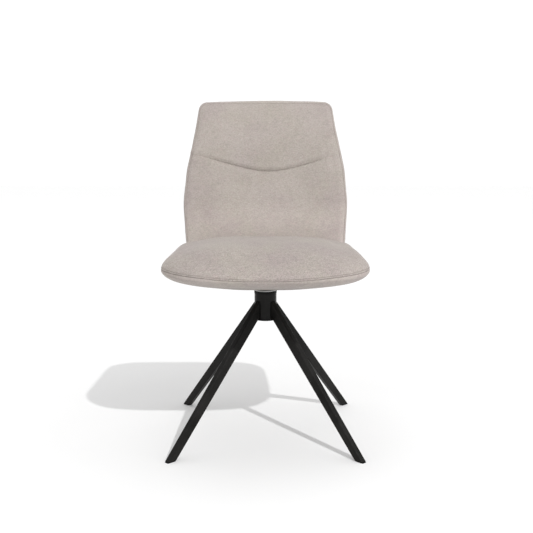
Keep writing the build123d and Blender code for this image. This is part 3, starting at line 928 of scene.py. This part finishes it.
# seam and topstitch
L = seat_L
gather = 1 + 0.22 * np.sin(np.arctan2(co[:, 1] - SEAT_C[1], co[:, 0] - SEAT_C[0]) * 61.0) + 0.15 * tufts(co, 26.0, 8)
dent = -1.35 * np.exp(-(L / 0.70) ** 2) - 0.22 * np.exp(-(np.abs(L) / 3.2) ** 1.5) * gather
dent += -1.1 * np.exp(-((L - TOPSTITCH) / 0.62) ** 2) - 0.10 * np.exp(-((L - TOPSTITCH) / 2.4) ** 2)
dent += 0.62 * np.exp(-((L + 2.35) / 1.25) ** 2)
dent += 0.55 * np.exp(-((L + 10.5) / 5.0) ** 2) * gather + 0.6 * np.exp(-((L - 7.0) / 4.0) ** 2) * gather
dent[np.abs(L) > 60] = 0
co = co + nor * (dent * smooth01(co[:, 2], 425.0, 434.0) * (fadeo > 0))[:, None]
set_coords(seat, co)
normals_out(seat)
nor = vertex_normals(seat)
r_ts = rows[ROW_OF[-4.6]]
seat_topstitch = stitches("seat_topstitch", co[r_ts], nor[r_ts], 4.1, 3.3, 0.36, sink=-0.12)
r_sm = rows[ROW_OF[0.0]]
seat_seam_thread = stitches("seat_seam_thread", co[r_sm], nor[r_sm], 3.4, 1.7, 0.26, sink=-0.1)

# ------------------------------------------------------------------ back cushion
BACK_HALF = [(221, 424, 34), (232.6, 600, 260), (225, 690, 260), (201.6, 802, 200), (189.6, 883, 27)]
RIM = 28.0


def inset_polygon(corners, d, radii):
    P = [np.array(c[:2], float) for c in corners]
    m = len(P)
    area = sum(P[i][0] * P[(i + 1) % m][1] - P[(i + 1) % m][0] * P[i][1] for i in range(m))
    s = 1.0 if area > 0 else -1.0
    lines = []
    for i in range(m):
        a, b = P[i], P[(i + 1) % m]
        t = (b - a) / np.linalg.norm(b - a)
        n = np.array([-t[1], t[0]]) * s
        lines.append((a + n * d, t))
    out = []
    for i in range(m):
        (p, t), (q, u) = lines[i - 1], lines[i]
        k = np.linalg.solve(np.array([t, -u]).T, q - p)[0]
        v = p + t * k
        out.append((v[0], v[1], radii[i]))
    return out


back_corners = mirrored(BACK_HALF)
inner_radii = [14, 240, 240, 200, 9]
inner_corners = inset_polygon(back_corners, RIM, inner_radii + inner_radii[::-1])
outer_path = fillet_path(back_corners)
inner_path = fillet_path(inner_corners)
if np.sum(outer_path[:, 0] * np.roll(outer_path[:, 1], -1) - np.roll(outer_path[:, 0], -1) * outer_path[:, 1]) < 0:
    outer_path, inner_path = outer_path[::-1], inner_path[::-1]
mid_path = (outer_path + inner_path) / 2
Lm = np.r_[0, np.cumsum(np.linalg.norm(np.diff(np.vstack([mid_path, mid_path[:1]]), axis=0), axis=1))]


def at_path(P, s):
    Q = np.vstack([P, P[:1]])
    return np.c_[np.interp(s, Lm, Q[:, 0]), np.interp(s, Lm, Q[:, 1])]


def near_s(x, z):
    return Lm[int(np.argmin(np.hypot(mid_path[:, 0] - x, mid_path[:, 1] - z)))]


# the smile: height of the crease by x
def crease_z(x):
    x = np.asarray(x, float)
    u = (x - 8.0)
    left = 686.2 + 0.315 * (np.sqrt(u * u + 60.0 ** 2) - 60.0)
    right = 686.2 + 0.315 * (np.sqrt(u * u + 68.0 ** 2) - 68.0) + 0.00013 * np.clip(u, 0, None) ** 2
    return np.where(u < 0, left, right)


Z_SIDE = 731.0
CR = [0.0, 0.4, 0.8, 1.25, 1.8, 2.5, 3.4, 4.6, 6.2, 8.4, 11.2, 14.5, 18.5]
# places along the sides: even below and above, dense beside the crease
z_lo, z_hi = 438.0, 866.0
low_part = list(np.linspace(z_lo, Z_SIDE - 18.5, 52))[:-1]
dense = [Z_SIDE - v for v in reversed(CR)] + [Z_SIDE + v for v in CR[1:]]
high_part = list(np.linspace(Z_SIDE + 18.5, z_hi, 27))[1:]
side_z = np.array(low_part + dense + high_part)
NB = len(side_z) - 1
NA = 92
s_bl, s_br = near_s(-205, 432), near_s(205, 432)
s_tr, s_tl = near_s(180, 872), near_s(-180, 872)


def side_positions(s_from, s_to, flip):
    # arc positions on one side whose heights are side_z between its two ends
    total_len = (s_to - s_from) % Lm[-1]
    s = s_from + np.linspace(0, 1, 900) * total_len
    z = at_path(mid_path, s % Lm[-1])[:, 1]
    want = side_z if not flip else side_z[::-1]
    want = want.copy()
    zz = z if not flip else -z
    ww = want if not flip else -want
    zz = np.maximum.accumulate(zz + np.linspace(0, 1e-6, 900))
    pos = np.interp(ww, zz, s)
    pos[0], pos[-1] = s_from, s_from + total_len
    return pos


bottom_len = (s_br - s_bl) % Lm[-1]
top_len = (s_tl - s_tr) % Lm[-1]
sp = list(s_bl + bottom_len * np.linspace(0, 1, NA + 1)[:-1])
sp += list(side_positions(s_br, s_tr, False)[:-1])
sp += list(s_tr + top_len * np.linspace(0, 1, NA + 1)[:-1])
sp += list(side_positions(s_tl, s_bl, True)[:-1])
sp = np.array(sp) % Lm[-1]
ring_o, ring_i = at_path(outer_path, sp), at_path(inner_path, sp)
BN = len(sp)


def front_y(x, z):
    y = 150 + 0.235 * (np.sqrt((z - 505) ** 2 + 34.0 ** 2) + (z - 505)) / 2
    hollow = smooth01(z, 470, 610) * x * x / 2360.0
    return y - hollow


def rear_y(x, z):
    return 202 + 0.235 * (z - 440) + 3.0 * np.clip(1 - (x / 210.0) ** 2, 0, 1) * smooth01(z, 430, 520) * (1 - smooth01(z, 800, 880))


P_EXP = 2.2


def rim_inset(frac):
    # inset from the outline by place in the thickness, 0 front to 1 rear
    a = np.abs(2 * frac - 1)
    return RIM * (1 - (1 - a ** P_EXP) ** (1 / P_EXP))


def back_profile(j):
    f = 0.5 - 0.5 * np.cos(np.linspace(0, math.pi, 500))
    ins = rim_inset(f)
    q = ring_o[j] + (ring_i[j] - ring_o[j]) * (ins / RIM)[:, None]
    yf, yr = front_y(q[:, 0], q[:, 1]), rear_y(q[:, 0], q[:, 1])
    y = yf + (yr - yf) * f
    P = np.c_[q[:, 0], y, q[:, 1]]
    L = np.r_[0, np.cumsum(np.linalg.norm(np.diff(P, axis=0), axis=1))]
    depth = y - front_y(q[:, 0], q[:, 1])
    l1 = np.interp(13.0, depth, L)
    l2 = np.interp(float((yr - yf).mean()) - 13.0, depth, L)
    return P, L, l1, l2


bp = [back_profile(j) for j in range(BN)]
grid_in = coons(ring_i, NA, NB).reshape(NA + 1, NB + 1, 2)
bborder, bids = ring_index(NA, NB)
fx, fz = grid_in[..., 0].copy(), grid_in[..., 1].copy()
# rows follow the smile
lift = (crease_z(fx) - Z_SIDE)
near = np.where(fz < Z_SIDE, 1 - smooth01(Z_SIDE - 18.5 - fz, 0.0, 1.0 * np.maximum(Z_SIDE - 18.5 - fz.min(axis=1, keepdims=True), 1)),
                1 - smooth01(fz - (Z_SIDE + 18.5), 0.0, np.maximum(fz.max(axis=1, keepdims=True) - (Z_SIDE + 18.5), 1)))
edge_fade = 1 - smooth01(np.abs(fx) / np.maximum(np.abs(grid_in[[0, -1]][:, :, 0]).max(0), 1)[None, :], 0.93, 1.0)
fz2 = fz + lift * near * edge_fade
front_grid = np.stack([fx, front_y(fx, fz2), fz2], -1).reshape(-1, 3)
bverts = list(front_grid)
brows = [bborder]
b_row_of = {}
b_faces = [faces_of_grid(bids)[:, ::-1]]


def add_back_row(vals):
    i0 = len(bverts)
    for j in range(BN):
        P, L, _, _ = bp[j]
        bverts.append([np.interp(vals[j], L, P[:, k]) for k in range(3)])
    brows.append(np.arange(i0, i0 + BN))


l1 = np.array([p[2] for p in bp])
l2 = np.array([p[3] for p in bp])
lt = np.array([p[1][-1] for p in bp])
B_ROWS1 = [-v for v in reversed(NEAR[:-1])] + [0.0] + NEAR_DOWN[:-1]
B_ROWS2 = [-v for v in reversed(NEAR_DOWN[:-1])] + [0.0] + NEAR_DOWN[:-1]
frontN, midN, rearN = 4, 7, 5
bl_front = [np.zeros(BN)]
for k in range(1, frontN):
    v = (l1 + B_ROWS1[0]) * k / frontN
    add_back_row(v)
    bl_front.append(v)
for v in B_ROWS1:
    b_row_of[("f", v)] = len(brows)
    add_back_row(l1 + v)
    bl_front.append(l1 + v)
a0, a1 = l1 + B_ROWS1[-1], l2 + B_ROWS2[0]
for k in range(1, midN):
    v = a0 + (a1 - a0) * k / midN
    add_back_row(v)
    bl_front.append(v)
for v in B_ROWS2:
    b_row_of[("r", v)] = len(brows)
    add_back_row(l2 + v)
    bl_front.append(l2 + v)
a0 = l2 + B_ROWS2[-1]
for k in range(1, rearN):
    v = a0 + (lt - a0) * k / rearN
    add_back_row(v)
    bl_front.append(v)
i0 = len(bverts)
rear_grid = np.stack([grid_in[..., 0], rear_y(grid_in[..., 0], grid_in[..., 1]), grid_in[..., 1]], -1).reshape(-1, 3)
bverts.extend(rear_grid)
brows.append(bborder + i0)
bl_front.append(lt)
b_faces.append(faces_of_rings(brows)[:, ::-1])
b_faces.append(faces_of_grid(bids + i0))
BACK_FINE = np.array(bverts, float)
nfront = (NA + 1) * (NB + 1)
# faces along the seams and the topstitch get the darker cloth: painted shade in the grooves
BACK_SHADE_STRIP = (set(range(b_row_of[("f", -0.6)], b_row_of[("f", 0.6)])) | set(range(b_row_of[("f", -4.9)], b_row_of[("f", -4.3)]))
              | set(range(b_row_of[("r", -0.6)], b_row_of[("r", 0.6)])))
bmat = [0] * len(b_faces[0])
kf, kr = b_row_of[("f", 0.0)], b_row_of[("r", 0.0)]
for k in range(len(brows) - 1):
    bmat += [3 if k in BACK_SHADE_STRIP else (0 if k < kf else (1 if k < kr else 2))] * BN
bmat += [2] * len(b_faces[2])
FABRIC_REAR = suede("greige_fabric_rear", (0.91, 0.63, 0.17), 0.99)
back = make_mesh("back_cushion", BACK_FINE, np.vstack(b_faces), [FABRIC, FABRIC_BAND, FABRIC_REAR, FABRIC_SEAM_SHADE], bmat)
normals_out(back)

bL1 = np.full(len(BACK_FINE), 999.0)
bL2 = np.full(len(BACK_FINE), 999.0)
for k, idx in enumerate(brows[1:], 1):
    if k < len(brows) - 1:
        bL1[idx] = bl_front[k] - l1
        bL2[idx] = bl_front[k] - l2
crease_q = np.full(len(BACK_FINE), 999.0)
crease_q[:nfront] = BACK_FINE[:nfront, 2] - crease_z(BACK_FINE[:nfront, 0])
cr_slope = (crease_z(BACK_FINE[:nfront, 0] + 1) - crease_z(BACK_FINE[:nfront, 0] - 1)) / 2
crease_q[:nfront] /= np.sqrt(1 + cr_slope ** 2)


def crease_fade(x):
    return (1 - smooth01(-x, 120, 205)) * (1 - smooth01(x, 118, 192))


def back_shell():
    keep = [0, 2, b_row_of[("f", -9.4)], b_row_of[("f", -4.6)], b_row_of[("f", 0.0)], b_row_of[("f", 5.2)]]
    keep += list(range(b_row_of[("f", 9.6)] + 2, b_row_of[("r", -9.6)], 2))
    keep += [b_row_of[("r", -5.2)], b_row_of[("r", 0.0)], b_row_of[("r", 5.2)], b_row_of[("r", 9.6)] + 2]
    V = [BACK_FINE[:nfront].copy()]
    q = crease_q[:nfront]
    V[0][:, 1] += (7.0 * np.exp(-(np.abs(q) / 9.0) ** 1.3)) * crease_fade(V[0][:, 0])
    n0 = nfront
    rws = [bborder]
    for k in keep[1:]:
        V.append(BACK_FINE[brows[k]])
        rws.append(np.arange(n0, n0 + BN))
        n0 += BN
    V.append(rear_grid)
    rws.append(bborder + n0)
    F = [faces_of_grid(bids)[:, ::-1], faces_of_rings(rws)[:, ::-1], faces_of_grid(bids + n0)]
    ob = make_mesh("back_shell", np.vstack(V), np.vstack(F), [])
    normals_out(ob)
    return ob


def back_pins(P):
    x, y, z = P[:, 0], P[:, 1], P[:, 2]
    yf, yr = front_y(x, z), rear_y(x, z)
    q = (z - crease_z(x)) / 1.03
    front = smooth01((yr - y) / np.maximum(yr - yf, 1), 0.6, 0.8)
    cr = (1 - smooth01(np.abs(q), 2.0, 7.0)) * crease_fade(x) * front
    d = y - yf
    T = yr - yf
    on_rim = rim_mask(x, z)
    seam_f = (1 - smooth01(np.abs(d - 13.0), 2.5, 6.5)) * on_rim
    seam_r = (1 - smooth01(np.abs(T - 13.0 - d), 2.5, 6.5)) * on_rim
    low = 1 - smooth01(z, 440, 470)
    return np.maximum.reduce([cr, seam_f, seam_r, low * 0.9])


rim_poly = soften(mid_path, 3.0)
rim_R = polar_reader(oriented(rim_poly), np.array([0.0, 650.0]))


def rim_mask(x, z):
    th = np.arctan2(z - 650.0, x)
    r = np.hypot(x, z - 650.0)
    return smooth01(r / rim_R(th), 0.90, 0.96)


CREASE_DEEP = 7.0 * np.exp(-(np.abs(crease_q) / 9.0) ** 1.3)
CREASE_DEEP[nfront:] = 0
bco = BACK_FINE.copy()
shell = back_shell()
start, polys, total, nor, pin = inflate(shell, back_pins, 5.5, 4.0, 4.0, 8.0, frames=20)
bpy.data.objects.remove(shell)
out = (total * nor).sum(1)
free = pin < 0.15
mean = float(np.median(out[free]))
print("back cloth", len(start), "points, mean swell", round(mean, 2), "spread", np.round(np.percentile(out[free], [2, 25, 50, 75, 98]), 2))
total = total - nor * (mean * (1 - pin) * 0.95)[:, None]
bco[:nfront, 1] += CREASE_DEEP[:nfront] * crease_fade(bco[:nfront, 0])
moved = carry(bco, start, polys, total)
moved = relax(moved, edge_array(back), 4)
bco = bco + moved
set_coords(back, bco)

bco = coords(back)
bnor = vertex_normals(back)
wave = tufts(bco, 170.0, 11) * 0.9 + tufts(bco, 70.0, 12) * 0.28
calm = (1 - 0.7 * np.exp(-(bL1 / 10.0) ** 2)) * (1 - 0.7 * np.exp(-(bL2 / 10.0) ** 2)) * (1 - 0.6 * np.exp(-(crease_q / 8.0) ** 2))
bco = bco + bnor * (wave * calm)[:, None]
gather = 1 + 0.18 * np.sin(bco[:, 2] * 0.33) + 0.18 * tufts(bco, 26.0, 18)


def seam_dent(L, ts):
    d = -1.35 * np.exp(-(L / 0.70) ** 2) - 0.3 * np.exp(-(np.abs(L) / 3.2) ** 1.5) * gather
    if ts:
        d += -1.1 * np.exp(-((L - TOPSTITCH) / 0.62) ** 2) - 0.10 * np.exp(-((L - TOPSTITCH) / 2.4) ** 2)
        d += 0.5 * np.exp(-((L + 2.35) / 1.25) ** 2)
    d += 0.7 * np.exp(-((np.abs(L) - 9.0) / 4.5) ** 2) * gather
    d[np.abs(L) > 60] = 0
    return d


dent = seam_dent(bL1, True) + seam_dent(bL2, False)
fadec = crease_fade(bco[:, 0])
q = crease_q
cr = -1.7 * np.exp(-(q / 1.0) ** 2) * fadec
cr += np.where(q > 0, 1.6 * np.exp(-((q - 9.0) / 7.0) ** 2), 0.5 * np.exp(-((q + 8.0) / 6.0) ** 2)) * fadec
cr[nfront:] = 0
# where the smile ends: a soft fold runs on to the left edge, and a small
# dimple with a short upright fold sits at the right
X, Z = bco[:, 0], bco[:, 2]
face = 1 - smooth01(bco[:, 1] - front_y(X, Z), 22.0, 34.0)
fold = -1.5 * np.exp(-((Z - 731.0 - 0.06 * (X + 192)) / 4.5) ** 2) * smooth01(-X, 168.0, 192.0)
fold += 0.9 * np.exp(-((Z - 739.5) / 6.0) ** 2) * smooth01(-X, 175.0, 200.0)
fold += -1.7 * np.exp(-((X - 181.0) / 7.5) ** 2 - ((Z - 729.0) / 7.0) ** 2)
fold += -1.1 * np.exp(-((X - 186.0 - 0.05 * (729.0 - Z)) / 5.5) ** 2) * smooth01(Z, 672.0, 705.0) * (1 - smooth01(Z, 722.0, 736.0))
fold += 0.7 * np.exp(-((X - 172.0) / 8.0) ** 2 - ((Z - 706.0) / 16.0) ** 2)
bco = bco + bnor * (dent + cr + fold * face)[:, None]
set_coords(back, bco)
normals_out(back)
bnor = vertex_normals(back)
r_ts = brows[b_row_of[("f", -4.6)]]
back_topstitch = stitches("back_topstitch", bco[r_ts], bnor[r_ts], 4.1, 3.3, 0.36, sink=-0.12)
r_sm = brows[b_row_of[("f", 0.0)]]
back_front_seam_thread = stitches("back_front_seam_thread", bco[r_sm], bnor[r_sm], 3.4, 1.7, 0.26, sink=-0.1)
r_sm = brows[b_row_of[("r", 0.0)]]
back_rear_seam_thread = stitches("back_rear_seam_thread", bco[r_sm], bnor[r_sm], 3.4, 1.7, 0.26, sink=-0.1)

# ------------------------------------------------------------------ dust cover under the seat
# thin black cloth, hemmed and stapled over the turned-in fabric, with an
# opening for the mounting plate; it sags a little and puckers at the staples
DN = 560
C0 = np.array([0.0, -30.0])
low_C0 = polar_reader(low_dense, C0, 3.5)
dth = np.linspace(0, 2 * math.pi, DN, endpoint=False)
ddir = np.c_[np.cos(dth), np.sin(dth)]
d_out = low_C0(dth) - 10.5
hole = soften(fillet_path([(118.5, -94.5, 9), (118.5, 94.5, 9), (-118.5, 94.5, 9), (-118.5, -94.5, 9)]), 1.5)
d_in = polar_reader(hole, C0)(dth)
out_xy, in_xy = C0 + ddir * d_out[:, None], C0 + ddir * d_in[:, None]


def arc_len(P):
    return np.r_[0, np.cumsum(np.linalg.norm(np.diff(np.vstack([P, P[:1]]), axis=0), axis=1))]


lo, li = arc_len(out_xy), arc_len(in_xy)
n_out, n_in = int(round(lo[-1] / 36.0)), int(round(li[-1] / 33.0))
pull_out = 0.5 - 0.5 * np.cos(2 * math.pi * n_out * lo[:-1] / lo[-1] - math.pi)
pull_in = 0.5 - 0.5 * np.cos(2 * math.pi * n_in * li[:-1] / li[-1] - math.pi)
span = d_out - d_in
dist = [0.0, 0.5, 1.3, 2.6, 4.2, 6.0, 7.6, 8.6, 9.4, 10.4, 12.2, 15.0]
D_ROWS = [("o", v) for v in dist] + [("m", k / 12.0) for k in range(1, 12)] + [("i", v) for v in (12.0, 9.5, 8.2, 7.2, 6.0, 4.4, 2.8, 1.4, 0.6, 0.0)]
dv, drows = [], []
for side in (0, 1):
    for kind, v in (D_ROWS if side == 0 else D_ROWS[::-1]):
        if kind == "o":
            a = np.full(DN, v)
        elif kind == "i":
            a = span - v
        else:
            a = 15.0 + (span - 27.0) * v
        b = span - a
        z = 424.45 + 0.35 * smooth01(b, 12.0, 0.0)
        z = z - 0.75 * (1 - smooth01(a, 9.5, 17.0))
        z = z - 0.55 * np.sin(np.clip((a - 12) / np.maximum(span - 24, 1), 0, 1) * math.pi) ** 1.3
        # hems: the folded edge is a little thicker, with a ridge where it ends
        z = z - 0.22 * (np.exp(-((a - 8.8) / 0.7) ** 2) + np.exp(-((b - 7.4) / 0.7) ** 2))
        # pulled up at each staple, with short folds that run inwards
        z = z + 0.26 * pull_out * np.exp(-((a - 5.0) / 5.0) ** 2) + 0.22 * pull_in * np.exp(-((b - 4.2) / 5.0) ** 2)
        fold = (pull_out - 0.5) * np.exp(-((a - 13.0) / 14.0) ** 2) + (pull_in - 0.5) * np.exp(-((b - 12.0) / 12.0) ** 2)
        z = z - 0.42 * fold * smooth01(a, 8.0, 12.0) * smooth01(b, 6.0, 10.0)
        xy = C0 + ddir * (d_out - a)[:, None]
        P = np.c_[xy, z]
        P[:, 2] += 0.16 * tufts(P, 55.0, 31) * smooth01(a, 10.0, 20.0) * smooth01(b, 8.0, 16.0)
        thin = 0.45 if (kind == "m" or v > 0.0) else 0.12
        if side == 1:
            P[:, 2] += thin
        drows.append(np.arange(len(dv) * DN, (len(dv) + 1) * DN))
        dv.append(P)
drows.append(drows[0])
dust = make_mesh("dust_cover_cloth", np.vstack(dv), faces_of_rings(drows), [DUST])
normals_out(dust)


def offset_line(P, C, d):
    v = P - C
    r = np.linalg.norm(v, axis=1)
    return C + v / r[:, None] * (r + d)[:, None]


down = np.tile([0.0, 0.0, -1.0], (DN, 1))
line_o, line_i = offset_line(out_xy, C0, -5.0), offset_line(in_xy, C0, 4.2)
outer_staples = stitches("dust_cover_outer_staples", np.c_[line_o, np.full(DN, 423.62)], down, lo[-1] / n_out, 9.6, 0.42,
                         sink=-0.25, mat=ZINC)
inner_staples = stitches("dust_cover_inner_staples", np.c_[line_i, np.full(DN, 424.42)], down, li[-1] / n_in, 9.6, 0.42,
                         sink=-0.25, mat=ZINC)


# ------------------------------------------------------------------ welds of the base
def weld_ring(name, angle, z_lo_w, z_hi_w, half_t, r_hub):
    # a rippled bead round the end of one leg, on the hub's surface
    rad, tan = np.array([math.cos(angle), math.sin(angle)]), np.array([-math.sin(angle), math.cos(angle)])
    c = 2.4
    loop = fillet_path([(half_t, z_lo_w, c), (half_t, z_hi_w, c), (-half_t, z_hi_w, c), (-half_t, z_lo_w, c)], 10, 30)
    L = np.r_[0, np.cumsum(np.linalg.norm(np.diff(np.vstack([loop, loop[:1]]), axis=0), axis=1))]
    n = 240
    s_at = np.linspace(0, L[-1], n, endpoint=False)
    t, z = np.interp(s_at, L, np.r_[loop[:, 0], loop[0, 0]]), np.interp(s_at, L, np.r_[loop[:, 1], loop[0, 1]])
    ripple = np.abs(np.sin(math.pi * s_at / (L[-1] / round(L[-1] / 1.7))))
    r_b = 1.35 + 0.22 * ripple + 0.12 * np.sin(s_at * 0.37 + angle)
    centre = np.c_[np.sqrt(r_hub ** 2 - t ** 2)[:, None] * rad + t[:, None] * tan, z]
    nxt = np.roll(centre, -1, axis=0) - np.roll(centre, 1, axis=0)
    nxt /= np.linalg.norm(nxt, axis=1)[:, None]
    out = np.c_[centre[:, :2], np.zeros(n)]
    out /= np.linalg.norm(out, axis=1)[:, None]
    side_v = np.cross(nxt, out)
    V = []
    m = 12
    for k in range(m):
        a = 2 * math.pi * k / m
        V.append(centre + (out * math.cos(a) * 0.85 + side_v * math.sin(a)) * r_b[:, None])
    idx = np.arange(n * m).reshape(m, n)
    F = []
    for k in range(m):
        k2 = (k + 1) % m
        F += [[idx[k, j], idx[k, (j + 1) % n], idx[k2, (j + 1) % n], idx[k2, j]] for j in range(n)]
    ob = make_mesh(name, np.vstack(V), F, [BLACK_WELD_SHADE])
    normals_out(ob)
    return ob


welds = [weld_ring(n + "_weld", math.radians(a), 314.0, 354.6, 7.7, 29.0)
         for n, a in (("front_left", 225), ("front_right", 315), ("rear_right", 45), ("rear_left", 135))]

# ------------------------------------------------------------------ carried-over nodes
slot_mat = {"black_frame": BLACK, "black_plastic": PLASTIC, "bearing_grey": BEARING, "zinc_steel": ZINC,
            "plywood": PLY, "foam": FOAM, "dust_cover": DUST, "greige_fabric": FABRIC}
for sub in frame["record"]["subparts"]:
    ob = NODES[sub["node"]]
    ob.data.materials.clear()
    # legs and column tube get their darker copies of the coat: painted shade
    own = BLACK_LEGS if sub["node"].endswith("_leg") else (BLACK_HUB_SHADE if sub["node"] == "column_tube" else None)
    ob.data.materials.append(own or slot_mat[sub["material_slot"]])

# ------------------------------------------------------------------ floor and light
floor_me = bpy.data.meshes.new("floor")
floor_me.from_pydata([(-14, -14, 0), (14, -14, 0), (14, 14, 0), (-14, 14, 0)], [], [(0, 1, 2, 3)])
floor = bpy.data.objects.new("floor", floor_me)
SCENE.collection.objects.link(floor)
gf = Graph("pale_floor")
soft = gf.noise(3.0, 2.0, 0.5)
# the floor runs on into the white of the studio: it glows a little far out,
# where the key light no longer reaches
away = gf.t.nodes.new("ShaderNodeVectorMath")
away.operation = "LENGTH"
gf.link(gf.coord, away.inputs[0])
glow = gf.ramp(gf.range(away.outputs["Value"], 0.0, 1.0, 0.0, 10.0),
               [(0.055, (0.045, 0.045, 0.045)), (0.12, (0.12, 0.12, 0.12)), (0.25, (0.22, 0.22, 0.22)), (0.6, (0.36, 0.36, 0.36))])
gf.set(Base_Color=gf.ramp(soft, [(0.3, (0.805, 0.805, 0.805)), (0.7, (0.815, 0.815, 0.815))]), Roughness=0.9,
       Specular_IOR_Level=0.1, Emission_Color=glow)
gf.bsdf.inputs["Emission Strength"].default_value = 1.0
floor.data.materials.append(gf.mat)

world = bpy.data.worlds.new("studio")
SCENE.world = world
world.use_nodes = True
bg = world.node_tree.nodes["Background"]
bg.inputs["Color"].default_value = (1.0, 1.0, 1.0, 1.0)
bg.inputs["Strength"].default_value = 0.76
wt = world.node_tree
wcoord = wt.nodes.new("ShaderNodeTexCoord")
wsep = wt.nodes.new("ShaderNodeSeparateXYZ")
wt.links.new(wcoord.outputs["Generated"], wsep.inputs["Vector"])
wrange = wt.nodes.new("ShaderNodeMapRange")
wrange.interpolation_type = "SMOOTHSTEP"
wrange.inputs["From Min"].default_value = 0.17
wrange.inputs["From Max"].default_value = 0.32
wrange.inputs["To Min"].default_value = 1.06
wrange.inputs["To Max"].default_value = 0.74
wt.links.new(wsep.outputs["Z"], wrange.inputs["Value"])
wt.links.new(wrange.outputs["Result"], bg.inputs["Strength"])


def area(name, loc, target, size, power, colour=(1, 1, 1)):
    ld = bpy.data.lights.new(name, "AREA")
    ld.shape = "RECTANGLE"
    ld.size, ld.size_y = size
    ld.energy = power
    ld.color = colour
    ob = bpy.data.objects.new(name, ld)
    SCENE.collection.objects.link(ob)
    ob.location = loc
    d = Vector(target) - Vector(loc)
    ob.rotation_euler = d.to_track_quat("-Z", "Y").to_euler()
    return ob


key = area("key", (2.24, -4.48, 4.36), (0, 0, 0.3), (0.10, 0.10), 256.0)
# the back throws no shadow of the key light on the floor
open_back = bpy.data.collections.new("key_blockers")
for ob in [back, back_topstitch, back_front_seam_thread, back_rear_seam_thread] + [
        NODES[n] for n in ("back_board", "left_back_bracket", "right_back_bracket", "bracket_back_bolts", "back_t_nuts")]:
    open_back.objects.link(ob)
key.light_linking.blocker_collection = open_back
for item in open_back.collection_objects:
    item.light_linking.link_state = "EXCLUDE"
overhead = area("overhead", (0.0, 0.9, 3.6), (0, 0, 0.4), (3.0, 3.0), 20.0)

# ------------------------------------------------------------------ riding and hand-over
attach(seat, "seat")
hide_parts("seat_foam", "seat_edge_foam", "seat_top_cover", "seat_edge_band")
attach(back, "seat")
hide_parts("back_front_foam", "back_rear_foam", "back_front_cover", "back_edge_band", "back_rear_cover")
for ob in (seat_topstitch, seat_seam_thread, back_topstitch, back_front_seam_thread, back_rear_seam_thread):
    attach(ob, "seat")
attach(dust, "seat")
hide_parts("seat_underside_cover")
for ob in (outer_staples, inner_staples):
    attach(ob, "seat")
for ob in welds:
    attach(ob, "base")
